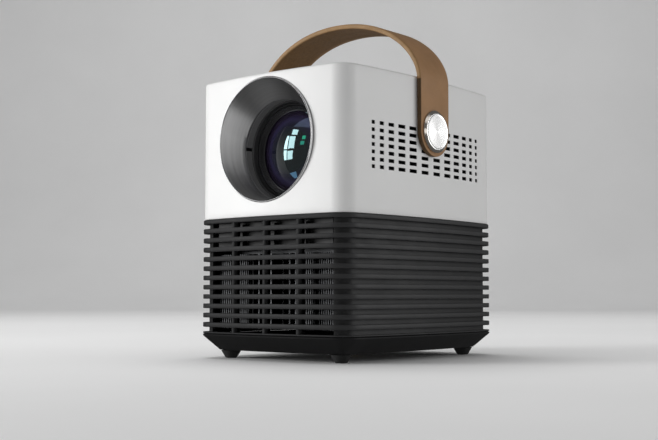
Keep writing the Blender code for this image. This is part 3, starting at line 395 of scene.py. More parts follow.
# ---- the body's plan: stations all round its faces and corners ----------------
SIDE_REACH = 66 * MM                # the side faces' stations end here
END_REACH = 50.1 * MM               # so do those of the front and rear
LEAST_CORNER = 1.5 * MM


def crown(x, y, offset):
    """Every face of the body bulges: pull a point of the plain rounded rectangle in."""
    half_x, half_y = SIDE + offset, DEPTH / 2 + offset
    new_y = y - math.copysign(CROWN_FRONT * (x / half_x) ** 2 * abs(y) / half_y, y)
    new_x = x - math.copysign(CROWN_SIDE * (y / half_y) ** 2 * abs(x) / half_x, x)
    return new_x, new_y


def spot(station, offset):
    """One point of the body's plan at a distance outside (+) or inside (-) its faces. A station is
    (kind, sign of x, sign of y, place along the face or angle round the corner)."""
    kind, sign_x, sign_y, value = station
    half_x, half_y = SIDE + offset, DEPTH / 2 + offset
    radius = max(CORNER + offset, LEAST_CORNER)
    if kind == "side":
        return crown(sign_x * half_x, value / (1 - CROWN_FRONT / half_y), offset)
    if kind == "end":
        return crown(value / (1 - CROWN_SIDE / half_x), sign_y * half_y, offset)
    x = sign_x * (half_x - radius) + radius * math.cos(value)
    y = sign_y * (half_y - radius) + radius * math.sin(value)
    return crown(x, y, offset)


def spread_between(marks, step):
    """The marks plus even points between them, no further apart than step."""
    found = [marks[0]]
    for low, high in zip(marks, marks[1:]):
        count = max(1, math.ceil(abs(high - low) / step))
        found += [low + (high - low) * k / count for k in range(1, count + 1)]
    return found


def round_plan(step, side_marks=(), front_marks=(), rear_marks=(), reach=END_REACH):
    """Stations all round the body: right side, rear, left side, front, with the corners between."""
    side = spread_between([-SIDE_REACH, *side_marks, SIDE_REACH], step)
    front = spread_between([-reach, *front_marks, reach], step)
    rear = spread_between([-reach, *rear_marks, reach], step)

    def corner(sign_x, sign_y, start):
        return [
            ("corner", sign_x, sign_y, math.radians(start + 90 * k / CORNER_STEPS))
            for k in range(CORNER_STEPS + 1)
        ]

    plan = [("side", 1, 0, y) for y in side]
    plan += corner(1, 1, 0)
    plan += [("end", 0, 1, x) for x in reversed(rear)]
    plan += corner(-1, 1, 90)
    plan += [("side", -1, 0, y) for y in reversed(side)]
    plan += corner(-1, -1, 180)
    plan += [("end", 0, -1, x) for x in front]
    plan += corner(1, -1, 270)
    return plan


def rings_on(bm, plan, section):
    """Vertices for every (offset, height) of the section, all round the plan."""
    return [[bm.verts.new((*spot(s, offset), z)) for s in plan] for offset, z in section]


# ---- mesh helpers -----------------------------------------------------------
def skin(bm, rings, closed, skipped=()):
    """Quads between neighbouring rings, except where skipped holds (ring, station). A closed run
    joins its last ring to its first."""
    pairs = list(zip(range(len(rings)), range(1, len(rings))))
    if closed:
        pairs.append((len(rings) - 1, 0))
    count = len(rings[0])
    for low, high in pairs:
        for k in range(count):
            if (low, k) in skipped:
                continue
            n = (k + 1) % count
            bm.faces.new((rings[low][k], rings[low][n], rings[high][n], rings[high][k]))


def line_opening(bm, near, far, near_in, far_in, start, end):
    """Walls through the body for an opening between two rings outside and the same two inside."""
    for k in range(start, end):
        bm.faces.new((near[k], near[k + 1], near_in[k + 1], near_in[k]))
        bm.faces.new((far[k + 1], far[k], far_in[k], far_in[k + 1]))
    bm.faces.new((near[end], far[end], far_in[end], near_in[end]))
    bm.faces.new((far[start], near[start], near_in[start], far_in[start]))


def build(name, bm, finish, body, nodes, sharp):
    """A visible piece that rides with a body and stands for the nodes. Edges sharper than this many
    degrees stay hard."""
    bmesh.ops.recalc_face_normals(bm, faces=bm.faces)
    limit = math.radians(sharp)
    for face in bm.faces:
        face.smooth = True
    for edge in bm.edges:
        edge.smooth = edge.calc_face_angle(0) < limit
    mesh = bpy.data.meshes.new(name)
    bm.to_mesh(mesh)
    bm.free()
    obj = bpy.data.objects.new(name, mesh)
    bpy.context.scene.collection.objects.link(obj)
    dress(obj, finish)
    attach(obj, body)
    if nodes:
        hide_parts(*nodes)
    return obj


def soften(obj, width):
    mod = obj.modifiers.new("soft edges", "BEVEL")
    mod.width = width
    mod.segments = 3
    mod.limit_method = "ANGLE"
    mod.angle_limit = math.radians(30)
    mod.harden_normals = True


def ring_points(axis, centre, radius, steps):
    cx, cy, cz = centre
    points = []
    for k in range(steps):
        turn = 2 * math.pi * k / steps
        a, b = radius * math.cos(turn), radius * math.sin(turn)
        offset = {"X": (0, a, b), "Y": (a, 0, b), "Z": (a, b, 0)}[axis]
        points.append(Vector((cx + offset[0], cy + offset[1], cz + offset[2])))
    return points


def lathe(bm, axis, sections, steps=ROUND_STEPS, closed=False):
    """Skin circles given as (radius, centre); an open run is capped at both ends."""
    rings = [[bm.verts.new(p) for p in ring_points(axis, centre, r, steps)] for r, centre in sections]
    skin(bm, rings, closed)
    if not closed:
        bm.faces.new(reversed(rings[0]))
        bm.faces.new(rings[-1])


def carve(obj, bm):
    """Cut a closed shape out of a piece, and keep the result as the piece's own mesh."""
    bmesh.ops.recalc_face_normals(bm, faces=bm.faces)
    mesh = bpy.data.meshes.new("cutter")
    bm.to_mesh(mesh)
    bm.free()
    cutter = bpy.data.objects.new("cutter", mesh)
    bpy.context.scene.collection.objects.link(cutter)
    hole = obj.modifiers.new("carve", "BOOLEAN")
    hole.operation = "DIFFERENCE"
    hole.solver = "EXACT"
    hole.object = cutter
    bpy.context.view_layer.update()
    evaluated = obj.evaluated_get(bpy.context.evaluated_depsgraph_get())
    cut_mesh = bpy.data.meshes.new_from_object(evaluated)
    obj.modifiers.clear()
    obj.data = cut_mesh
    bpy.data.objects.remove(cutter)


def bore(obj, axis, sections):
    """A turned hole."""
    bm = bmesh.new()
    lathe(bm, axis, sections)
    carve(obj, bm)


def cut_box(obj, low, high):
    """A square-sided opening."""
    bm = bmesh.new()
    matrix = Matrix.Translation((low + high) / 2) @ Matrix.Diagonal((*(high - low), 1.0))
    bmesh.ops.create_cube(bm, size=1.0, matrix=matrix)
    carve(obj, bm)


# ---- upper shell ------------------------------------------------------------
VENT_COLUMNS = (                    # distance from the middle, width
    (6.3 * MM, 7.4 * MM), (18.5 * MM, 7.4 * MM), (29.5 * MM, 6.8 * MM),
    (39.4 * MM, 5.3 * MM), (48.0 * MM, 3.9 * MM), (55.5 * MM, 2.9 * MM),
)
VENT_ROWS = 7
VENT_Z = 115.2 * MM                 # centre of the lowest row
VENT_PITCH = 4.37 * MM
VENT_HEIGHT = 2.3 * MM
WALL = 2.4 * MM
TOP_FILLET = 1.6 * MM
FILLET_STEPS = 6
RIM_LAND = 3.0 * MM                 # width of the rim round the top cover
LAND_EASE = 0.25 * MM               # small chamfer at its inner edge
LEDGE_Z = TOP_Z - 3.0 * MM          # ledge that the top cover rests on
LEDGE_WIDTH = 3.0 * MM
LEDGE_THICK = 1.6 * MM
PANEL_EASE = 0.5 * MM
THROUGH = 8 * MM                    # cutters reach this far past what they cut


def vent_edges():
    """The near and far edges of the vents along Y, from front to rear."""
    edges = []
    for away, width in VENT_COLUMNS:
        edges += [(middle - width / 2, middle + width / 2) for middle in (-away, away)]
    return sorted(edges)


def shell_section(rows):
    """The wall's outline from the seam up the outside, over the rim and ledge, and down the inside,
    with a level at the lower and upper edge of every row of vents."""
    row_edges = [z for pair in rows for z in pair]
    levels = spread_between([SEAM_Z + EDGE_SOFT, *row_edges, TOP_Z - TOP_FILLET], 4 * MM)
    section = [(-EDGE_SOFT, SEAM_Z), (-EDGE_BEND, SEAM_Z + EDGE_BEND)] + [(0.0, z) for z in levels]
    for step in range(1, FILLET_STEPS + 1):
        turn = math.pi / 2 * step / FILLET_STEPS
        section.append((-TOP_FILLET * (1 - math.cos(turn)), TOP_Z - TOP_FILLET * (1 - math.sin(turn))))
    under = LEDGE_Z - LEDGE_THICK
    section += [(-RIM_LAND + LAND_EASE, TOP_Z), (-RIM_LAND, TOP_Z - LAND_EASE), (-RIM_LAND, LEDGE_Z),
                (-RIM_LAND - LEDGE_WIDTH, LEDGE_Z), (-RIM_LAND - LEDGE_WIDTH, under), (-WALL, under)]
    section += [(-WALL, z) for z in reversed(levels) if z < LEDGE_Z - 3 * MM]
    return section + [(-WALL, SEAM_Z)]


def upper_shell():
    edges = vent_edges()
    plan = round_plan(2.6 * MM, side_marks=[y for pair in edges for y in pair])
    middles = [VENT_Z + row * VENT_PITCH for row in range(VENT_ROWS)]
    rows = [(middle - VENT_HEIGHT / 2, middle + VENT_HEIGHT / 2) for middle in middles]
    section = shell_section(rows)
    bm = bmesh.new()
    vent_shade = bm.verts.layers.float.new("vent_shade")
    rings = rings_on(bm, plan, section)
    # 1 on the inside of the wall and on the vent walls, where the white finish gives way to painted shade
    for (offset, z), ring in zip(section, rings):
        for vert in ring:
            vert[vent_shade] = 1.0 if offset < -2 * MM and z < TOP_Z - 2 * MM else 0.0
    outside = {round(z, 6): index for index, (offset, z) in enumerate(section) if offset == 0.0}
    inside = {round(z, 6): index for index, (offset, z) in enumerate(section) if offset == -WALL}
    stations = {(s[1], round(s[3], 7)): k for k, s in enumerate(plan) if s[0] == "side"}
    skipped, openings = set(), []
    for low, high in rows:
        low_out, high_out = outside[round(low, 6)], outside[round(high, 6)]
        low_in, high_in = inside[round(low, 6)], inside[round(high, 6)]
        for sign in (1, -1):
            for pair in edges:
                start, end = sorted(stations[(sign, round(y, 7))] for y in pair)
                for station in range(start, end):
                    skipped.update(((low_out, station), (high_in, station)))
                openings.append((rings[low_out], rings[high_out], rings[low_in], rings[high_in], start, end))
    skin(bm, rings, True, skipped)
    for opening in openings:
        line_opening(bm, *opening)
    shell = build("shell_moulding", bm, "white_shell", "housing", ["upper_shell"], 30)
    bore(shell, "Y", [(RING_OUT + GAP, (0, y, MOUTH_Z)) for y in (FRONT - THROUGH, FRONT + 12 * MM)])
    ease = Vector((PANEL_EASE, THROUGH, PANEL_EASE))
    cut_box(shell, Vector(PANEL_LOW) - ease, Vector(PANEL_HIGH) + ease)


# ---- louvred base -----------------------------------------------------------
FIN_OUT = 0.75 * MM                 # fin tips stand proud of the white shell
WALL_IN = -3.0 * MM                 # wall behind the fins
BASE_WALL = 2.0 * MM
FIN_GAPS = 12
FIN_PITCH = 5.88 * MM
FIN_GAP = 3.0 * MM
RIM_Z = BASE_LOW[2]
BASE_TOP = 87.0 * MM
FIRST_GAP_TOP = BASE_TOP - 2.6 * MM
LIP_IN = -2.7 * MM                  # lip that rises inside the upper shell
LIP_HEIGHT = 2 * MM
GRILLE_HALF = 50.8 * MM
BARS = (-26.4 * MM, 0.0, 26.4 * MM)
BAR_HALF = 1.15 * MM
BAR_EDGE = 0.35 * MM
BAR_RECESS = 0.7 * MM               # behind the fin tips, and above the base's lower edge
BAR_DEPTH = 4.6 * MM
BAR_SHORT = 1 * MM                  # the bars stop this far below the top fin's face


def grille_windows(edges):
    """The openings between neighbouring bars."""
    return [(low + BAR_HALF, high - BAR_HALF) for low, high in zip(edges, edges[1:])]


def fin_top(z):
    return [(FIN_OUT - EDGE_SOFT, z), (FIN_OUT - EDGE_BEND, z - EDGE_BEND), (FIN_OUT, z - EDGE_SOFT)]


def fin_bottom(z):
    return [(FIN_OUT, z + EDGE_SOFT), (FIN_OUT - EDGE_BEND, z + EDGE_BEND), (FIN_OUT - EDGE_SOFT, z)]


def base_section():
    """The wall's outline down the fins and up the inside. Also, for each gap between fins, where in
    the outline its upper edge is outside and where its lower edge is inside."""
    section, outside, inside = fin_top(BASE_TOP), [], []
    tops = [FIRST_GAP_TOP - k * FIN_PITCH for k in range(FIN_GAPS)]
    for high in tops:
        section += fin_bottom(high)
        outside.append(len(section))
        section += [(WALL_IN, high), (WALL_IN, high - FIN_GAP), *fin_top(high - FIN_GAP)]
    inner = WALL_IN - BASE_WALL
    section += [(FIN_OUT, RIM_Z + EDGE_SOFT), (FIN_OUT - EDGE_SOFT, RIM_Z), (inner, RIM_Z)]
    for high in reversed(tops):
        inside.insert(0, len(section))
        section += [(inner, high - FIN_GAP), (inner, high)]
    section += [(inner, BASE_TOP + LIP_HEIGHT), (LIP_IN, BASE_TOP + LIP_HEIGHT), (LIP_IN, BASE_TOP)]
    return section, outside, inside


def grille_bar(bm, x):
    """An upright bar behind the fin tips, following the bulge of the front."""
    face = FRONT - FIN_OUT + BAR_RECESS + CROWN_FRONT * (x / SIDE) ** 2
    outline = [
        (x - BAR_HALF, face + BAR_DEPTH), (x - BAR_HALF, face + BAR_EDGE), (x - BAR_HALF + BAR_EDGE, face),
        (x + BAR_HALF - BAR_EDGE, face), (x + BAR_HALF, face + BAR_EDGE), (x + BAR_HALF, face + BAR_DEPTH),
    ]
    low, high = [
        [bm.verts.new((px, py, z)) for px, py in outline] for z in (RIM_Z + BAR_RECESS, BASE_TOP - BAR_SHORT)
    ]
    skin(bm, [low, high], False)
    bm.faces.new(low)
    bm.faces.new(high)


def louvred_base():
    front = grille_windows([-GRILLE_HALF, *BARS, GRILLE_HALF])
    rear = grille_windows([-GRILLE_HALF, 0.0, GRILLE_HALF])
    front_marks, rear_marks = [[x for pair in windows for x in pair] for windows in (front, rear)]
    plan = round_plan(5 * MM, front_marks=front_marks, rear_marks=rear_marks)
    section, outside, inside = base_section()
    bm = bmesh.new()
    rings = rings_on(bm, plan, section)
    stations = {(s[2], round(s[3], 7)): k for k, s in enumerate(plan) if s[0] == "end"}
    skipped, openings = set(), []
    for upper_out, lower_in in zip(outside, inside):
        edges = (rings[upper_out], rings[upper_out + 1], rings[lower_in + 1], rings[lower_in])
        for sign, windows in ((-1, front), (1, rear)):
            for pair in windows:
                start, end = sorted(stations[(sign, round(x, 7))] for x in pair)
                for station in range(start, end):
                    skipped.update(((upper_out, station), (lower_in, station)))
                openings.append((*edges, start, end))
    skin(bm, rings, True, skipped)
    for opening in openings:
        line_opening(bm, *opening)
    for x in BARS:
        grille_bar(bm, x)
    return build("louvre_moulding", bm, "dark_base", "housing", ["louvred_base"], 50)


# ---- lens and funnel --------------------------------------------------------
RING_FRONT = RING_LOW[1]
RING_DEPTH = 2.4 * MM
RING_FACE = 0.3 * MM                # the trim's face lies this far back
RING_LEAD = 1.2 * MM                # depth of the slope into its bore
SKIRT_IN = 34.6 * MM                # the funnel's skirt, round the focus ring
SKIRT_OUT = 36.4 * MM
THROAT_Y = FRONT + 15.8 * MM
THROAT_LIP = 0.9 * MM
MOUNT_FRONT = MOUNT_LOW[1]
FOCUS_OUT = 34.3 * MM
FOCUS_BORE = 30.0 * MM
FOCUS_STEP_Y = FRONT + 22.3 * MM
FOCUS_STEPS = 360
FOCUS_CHAMFER = 0.3 * MM
SLOT_TURN = math.pi - 0.089         # the finger slot is just above the level of the axis
SLOT_HALF = math.radians(1.7)
SLOT_R = 33.9 * MM                  # its floor
BARREL_FRONT = BARREL_LOW[1]
BARREL_REAR = BARREL_HIGH[1]
BARREL_R = 29.7 * MM
BARREL_BORE = 28.6 * MM             # round the glass
BARREL_WAIST = 24.5 * MM            # behind it
BARREL_NECK = 22.8 * MM             # round the rear lens's end
NECK_LENGTH = 3 * MM
GLASS_Y = FRONT + 28.4 * MM
GLASS_SEAT = 5 * MM                 # depth of the barrel behind the glass's rim
LENS_BULGE = 4.2 * MM
LENS_R = 28.2 * MM                  # the glass's hidden edge
LENS_EDGE = 3.6 * MM
RETAINER_R = 28.3 * MM
GROOVES = 4


def on_axis(pairs):
    """Circles of a lens piece, from (radius, place along Y)."""
    return [(r, (0, y, LENS_Z)) for r, y in pairs]


def rim_ring():
    """The silver trim: a flat face between a fine rounded rim and a slope into its bore."""
    profile = [
        (RING_IN, RING_DEPTH), (RING_IN, RING_FACE + RING_LEAD), (RING_IN + 0.2 * MM, RING_FACE + 0.12 * MM),
        (RING_IN + 0.3 * MM, RING_FACE), (RING_OUT - 0.4 * MM, RING_FACE),
        (RING_OUT - 0.12 * MM, RING_FACE + 0.25 * MM), (RING_OUT, RING_FACE + 0.6 * MM), (RING_OUT, RING_DEPTH),
    ]
    bm = bmesh.new()
    lathe(bm, "Y", [(r, (0, RING_FRONT + y, MOUTH_Z)) for r, y in profile], FINE_STEPS, True)
    return build("rim_trim", bm, "ring_metal", "housing", ["rim_ring"], 50)


def funnel():
    """A slanting cone from a lip inside the trim's bore to the throat, with a skirt behind it."""
    mouth_y = RING_FRONT + RING_DEPTH + GAP
    lip_r, lip_y = RING_IN - 0.12 * MM, RING_FRONT + 0.6 * MM
    mouth_r = RING_OUT - 0.1 * MM
    skirt_rear = MOUNT_FRONT - GAP
    steps = 8
    walls = []
    for k in range(steps + 1):
        t = k / steps
        walls.append((lip_r + (THROAT_R - lip_r) * t,
                      (0, lip_y + (THROAT_Y - lip_y) * t, MOUTH_Z + (LENS_Z - MOUTH_Z) * t)))
    section = [
        *on_axis([(SKIRT_OUT, skirt_rear), (SKIRT_OUT, THROAT_Y)]),
        (mouth_r, (0, mouth_y + 0.8 * MM, MOUTH_Z)), (mouth_r, (0, mouth_y, MOUTH_Z)),
        (lip_r, (0, mouth_y, MOUTH_Z)), *walls,
        *on_axis([(THROAT_R, THROAT_Y + THROAT_LIP), (SKIRT_IN, THROAT_Y + THROAT_LIP),
                  (SKIRT_IN, skirt_rear)]),
    ]
    bm = bmesh.new()
    lathe(bm, "Y", section, FINE_STEPS, True)
    return build("funnel_moulding", bm, "funnel_satin", "housing", ["lens_funnel"], 25)


def focus_ring():
    """The grip ring: a plain drum with one finger slot, and a fine chamfer at its step."""
    front = THROAT_Y + THROAT_LIP + GAP
    rear = MOUNT_FRONT - GAP
    chamfer = FOCUS_CHAMFER
    wall = [(DRUM_BORE, FOCUS_STEP_Y), (DRUM_BORE, front + chamfer), (DRUM_BORE + chamfer, front)]
    profile = [*wall, (FOCUS_OUT, front), (FOCUS_OUT, rear), (FOCUS_BORE, rear),
               (FOCUS_BORE, FOCUS_STEP_Y + chamfer), (FOCUS_BORE + chamfer, FOCUS_STEP_Y)]
    bm = bmesh.new()
    rings = [[bm.verts.new(p) for p in ring_points("Y", (0, y, LENS_Z), r, FOCUS_STEPS)] for r, y in profile]
    for (_, y), ring in zip(wall, rings):
        for k, vert in enumerate(ring):
            turn = 2 * math.pi * k / FOCUS_STEPS
            if abs(turn - SLOT_TURN) < SLOT_HALF:
                vert.co = (SLOT_R * math.cos(turn), y, LENS_Z + SLOT_R * math.sin(turn))
    skin(bm, rings, True)
    return build("focus_drum", bm, "focus_black", "focus", ["focus_ring"], 25)


def barrel():
    """Black barrel: wide round the glass, with a waist behind it and a neck at the rear."""
    seat, neck, lip = GLASS_Y + GLASS_SEAT, BARREL_REAR - NECK_LENGTH, 0.2 * MM
    profile = [
        (BARREL_R, BARREL_FRONT + lip), (BARREL_R, BARREL_REAR), (BARREL_NECK, BARREL_REAR),
        (BARREL_NECK, neck), (BARREL_WAIST, neck), (BARREL_WAIST, seat), (BARREL_BORE, seat),
        (BARREL_BORE, BARREL_FRONT), (BARREL_R - lip, BARREL_FRONT),
    ]
    bm = bmesh.new()
    lathe(bm, "Y", on_axis(profile), 160, True)
    return build("barrel", bm, "barrel_black", "lens", ["lens_barrel"], 25)


def retainer():
    """Retaining ring: a thread of fine grooves narrowing towards the glass."""
    front = BARREL_FRONT + 0.2 * MM
    profile = [(RETAINER_R, front), (RETAINER_R, GLASS_Y), (GLASS_R, GLASS_Y),
               (GLASS_R, GLASS_Y - 0.5 * MM), (GLASS_R + 0.25 * MM, GLASS_Y - 0.75 * MM)]
    for groove in range(GROOVES):
        r = (26.0 + 0.45 * groove) * MM
        y = GLASS_Y - (0.95 + 0.62 * groove) * MM
        profile += [(r, y), (r, y - 0.28 * MM), (r + 0.3 * MM, y - 0.36 * MM)]
    profile += [(27.8 * MM, y - 0.4 * MM), (27.95 * MM, front)]
    bm = bmesh.new()
    lathe(bm, "Y", on_axis(profile), FINE_STEPS, True)
    return build("retaining_ring", bm, "retainer_black", "lens", ["lens_retainer"], 22)


def dome_points(radius, bulge, steps):
    """(radius, height) on a spherical cap, from its rim inwards, closest together at the rim."""
    sphere = (radius ** 2 + bulge ** 2) / (2 * bulge)
    points = []
    for step in range(steps + 1):
        r = radius * math.cos(math.pi / 2 * step / (steps + 1))
        points.append((r, math.sqrt(sphere ** 2 - r ** 2) - (sphere - bulge)))
    return points


def front_lens():
    rim = GLASS_Y + GAP
    profile = [(r, rim - h) for r, h in reversed(dome_points(GLASS_R - GAP, LENS_BULGE, 22))]
    profile += [(LENS_R, rim), (LENS_R, rim + LENS_EDGE)]
    bm = bmesh.new()
    lathe(bm, "Y", on_axis(profile))
    return build("front_element", bm, "front_glass", "lens", ["front_lens"], 30)


# ---- strap and rivets -------------------------------------------------------
STRAP_HALF = 15.5 * MM
STRAP_THICK = 3.0 * MM
STRAP_X = 68.3 * MM
STRAP_POINTS = (
    Vector((STRAP_X, 172.5 * MM)), Vector((STRAP_X, 190.0 * MM)),
    Vector((45 * MM, 215.6 * MM)), Vector((0, 215.6 * MM)),
)


def arch_point(t):
    a, b, c, d = STRAP_POINTS
    return a * (1 - t) ** 3 + b * 3 * (1 - t) ** 2 * t + c * 3 * (1 - t) * t ** 2 + d * t ** 3


def strap_stations():
    """Places along the outer face, from one end to the other: ((x, z), inward direction, half width)."""
    found = []
    inward = Vector((-1, 0))
    for k in range(25):
        turn = math.pi / 2 * k / 24
        drop = STRAP_HALF * math.cos(turn)
        found.append((Vector((STRAP_X, PIVOT_Z - drop)), inward, STRAP_HALF * math.sin(turn)))
    for k in range(1, 12):
        z = PIVOT_Z + (STRAP_POINTS[0].y - PIVOT_Z) * k / 12
        found.append((Vector((STRAP_X, z)), inward, STRAP_HALF))
    steps = 48
    for k in range(steps + 1):
        t = k / steps
        along = (arch_point(min(t + 0.005, 1)) - arch_point(max(t - 0.005, 0))).normalized()
        found.append((arch_point(t), Vector((-along.y, along.x)), STRAP_HALF))
    mirrored = [(Vector((-p.x, p.y)), Vector((-n.x, n.y)), half) for p, n, half in reversed(found[:-1])]
    return found + mirrored


def strap():
    soft = 0.9 * MM
    turns = [math.pi / 2 * k / 4 for k in range(5)]
    bm = bmesh.new()
    edge_wear_and_shade = bm.verts.layers.float.new("edge")
    flesh = bm.verts.layers.float.new("flesh")
    rings = []
    for place, inward, half in strap_stations():
        section = []
        inner = max(half - soft, 0.0)
        marks = [-1.0, -0.75, -0.5, -0.25, 0.0, 0.25, 0.5, 0.75, 1.0]
        section += [(inner * m, 0.0, 0.0) for m in marks]
        section += [(inner + (half - inner) * math.sin(t), soft * (1 - math.cos(t)), 0.35 + t)
                    for t in turns[1:]]
        section += [(inner + (half - inner) * math.cos(t), STRAP_THICK - soft * (1 - math.sin(t)), 1.0)
                    for t in turns]
        section += [(inner * m, STRAP_THICK, 0.0) for m in reversed(marks[:-1])]
        section += [(-inner - (half - inner) * math.sin(t), STRAP_THICK - soft * (1 - math.cos(t)), 1.0)
                    for t in turns[1:]]
        section += [(-inner - (half - inner) * math.cos(t), soft * (1 - math.sin(t)), 0.35 + math.pi / 2 - t)
                    for t in turns[:-1]]
        ring = []
        for across, depth, edge in section:
            flat = place + inward * depth
            vert = bm.verts.new((flat.x, across, flat.y))
            # -1 below the top cover: painted shade on the legs' edges
            vert[edge_wear_and_shade] = min(edge, 1.0) * (1.0 if place.y > 173 * MM else -1.0)
            vert[flesh] = 1.0 if depth > STRAP_THICK * 0.98 else 0.0
            ring.append(vert)
        rings.append(ring)
    skin(bm, rings, False)
    bm.faces.new(rings[0])
    bm.faces.new(rings[-1])
    return build("leather_strap", bm, "strap_leather", "handle", ["strap"], 60)


def rivet(name, side):
    cap_in = STRAP_X + GAP
    shank = [(0.4 * MM, 58 * MM), (3.5 * MM, 58 * MM), (3.5 * MM, cap_in)]
    cap = [(13.0 * MM, cap_in), (CAP_R, cap_in + 0.15 * MM), (CAP_R, cap_in + 0.45 * MM),
           (13.0 * MM, cap_in + 0.62 * MM), (11.5 * MM, 70.1 * MM), (11.35 * MM, 70.19 * MM),
           (11.0 * MM, 70.2 * MM), (10.7 * MM, 70.18 * MM), (10.5 * MM, 70.12 * MM), (10.3 * MM, 70.1 * MM)]
    cap += [(10.3 * MM * (1 - k / 10), 70.1 * MM) for k in range(1, 10)]
    bm = bmesh.new()
    lathe(bm, "X", [(r, (side * x, 0, PIVOT_Z)) for r, x in shank + cap], 128)
    return build(name, bm, "rivet_metal", "housing", ["rivet_cap_" + ("right" if side > 0 else "left")], 40)


# ---- tray and feet ----------------------------------------------------------
SCREW_X, SCREW_Y = 41.5 * MM, 53 * MM
FOOT_X, FOOT_Y = 45.1 * MM, 64.2 * MM


def tray():
    low, chamfer = 5.2 * MM, 9.4 * MM
    top = RIM_Z - GAP
    plan = round_plan(6 * MM, reach=47 * MM)
    section = [(-chamfer - 0.5 * MM, low), (-chamfer + 0.2 * MM, low + 0.06 * MM),
               (FIN_OUT - 0.25 * MM, top - 1.3 * MM), (FIN_OUT, top - 0.9 * MM),
               (FIN_OUT, top - EDGE_SOFT), (FIN_OUT - EDGE_SOFT, top),
               (-5 * MM, top), (-chamfer, low + 2 * MM)]
    bm = bmesh.new()
    rings = rings_on(bm, plan, section)
    skin(bm, rings, False)
    bm.faces.new(rings[0])
    bm.faces.new(rings[-1])
    made = build("tray_moulding", bm, "dark_tray", "housing", ["bottom_tray"], 25)
    bore(made, "Z", [(5.3 * MM, (0, 0, low + z * MM)) for z in (-2, 6)])
    for x in (-SCREW_X, SCREW_X):
        for y in (-SCREW_Y, SCREW_Y):
            steps = ((3.2, -2), (3.2, 1.0), (2.9, 1.3), (1.75, 1.3), (1.75, 6))
            bore(made, "Z", [(r * MM, (x, y, low + z * MM)) for r, z in steps])
    return made


def foot(name, x, y):
    top = 4.9 * MM
    profile = [(3.0 * MM, 0), (3.35 * MM, 0.08 * MM), (3.6 * MM, 0.35 * MM), (3.9 * MM, 0.7 * MM),
               (6.4 * MM, top)]
    bm = bmesh.new()
    lathe(bm, "Z", [(r, (x, y, z)) for r, z in profile], 48)
    return build(name + "_pad", bm, "foot_rubber", "housing", [name], 35)


# ---- key symbols ------------------------------------------------------------
KEY_TOP = NODES["key_ok"].bound_box[6][2]
KEY_Y = 24 * MM


def symbol(name, shapes, body):
    """Printed marks, a hair above the key's face: each shape is a loop of XY points in mm."""
    bm = bmesh.new()
    for shape in shapes:
        low = [bm.verts.new((x * MM, KEY_Y + y * MM, KEY_TOP + 0.01 * MM)) for x, y in shape]
        high = [bm.verts.new((x * MM, KEY_Y + y * MM, KEY_TOP + 0.05 * MM)) for x, y in shape]
        skin(bm, [low, high], False)
        bm.faces.new(reversed(low))
        bm.faces.new(high)
    build(name, bm, "dark_base", body, [], 30)


def arrow(turn_deg, reach=13.8, size=1.7):
    """A triangle that points outwards, on the ring of arrow keys."""
    turn = math.radians(turn_deg)
    along = Vector((math.cos(turn), math.sin(turn)))
    side = Vector((-along.y, along.x))
    middle = along * reach
    return [tuple(middle + along * size), tuple(middle - along * size * 0.6 + side * size),
            tuple(middle - along * size * 0.6 - side * size)]


def band(cx, cy, inner, outer, start, end, steps=20):
    """Part of a ring, between two angles in degrees."""
    turns = [math.radians(start + (end - start) * k / steps) for k in range(steps + 1)]
    loop = [(cx + outer * math.cos(t), cy + outer * math.sin(t)) for t in turns]
    loop += [(cx + inner * math.cos(t), cy + inner * math.sin(t)) for t in reversed(turns)]
    return loop


def bar(cx, cy, half_x, half_y):
    return [(cx - half_x, cy - half_y), (cx + half_x, cy - half_y),
            (cx + half_x, cy + half_y), (cx - half_x, cy + half_y)]


for direction, turn_deg in (("right", 0), ("up", 90), ("left", 180), ("down", 270)):
    symbol("mark_" + direction, [arrow(turn_deg)], "key_" + direction)
symbol("mark_ok", [band(0, 0, 1.7, 2.3, 0, 180), band(0, 0, 1.7, 2.3, 180, 360)], "key_ok")
symbol("mark_power", [band(-34, 0, 2.0, 2.6, 125, 415, 40), bar(-34, 1.7, 0.3, 1.5)], "key_power")
symbol("mark_source", [bar(34, 2.0, 2.8, 0.3), bar(34, -2.0, 2.8, 0.3), bar(31.5, 0, 0.3, 1.7),
                       bar(36.5, 0, 0.3, 1.7)], "key_source")


# ---- fine edges on the remaining pieces -------------------------------------
SOFT_EDGES = {
    "top_cover": 0.3, "port_panel": 0.4, "dc_jack": 0.2, "av_jack": 0.2, "usb_port": 0.12, "hdmi_port": 0.12,
    "ir_window": 0.3, "fan_frame": 0.5, "fan_rotor": 0.2, "front_baffle": 0.15, "light_box": 0.4,
    "panel_frame": 0.4, "lens_mount": 0.3, "main_board": 0.2, "key_board": 0.2, "tripod_insert": 0.3,
    "key_ok": 0.5, "key_up": 0.45, "key_down": 0.45, "key_left": 0.45, "key_right": 0.45,
    "key_power": 0.45, "key_source": 0.45, "heat_sink": 0.1,
}
for node_name, width in SOFT_EDGES.items():
    soften(NODES[node_name], width * MM)


# ---- the visible pieces, grouped by how they are lit --------------------------
upper_shell()
louvres = louvred_base()
trim = [rim_ring()]
throat = [funnel()]
drum = [focus_ring()]
inner = [barrel(), retainer()]
glass = [front_lens()]
strap()
lower = [louvres, tray()]
right_rivet = [rivet("right_rivet", 1)]
rivet("left_rivet", -1)
for end_name, foot_y in (("front", -FOOT_Y), ("rear", FOOT_Y)):
    for side_name, foot_x in (("left", -FOOT_X), ("right", FOOT_X)):
        foot("foot_" + end_name + "_" + side_name, foot_x, foot_y)


# ---- every CAD node gets its finish -----------------------------------------
for node_name, node in NODES.items():
    dress(node, own_slot(node_name))


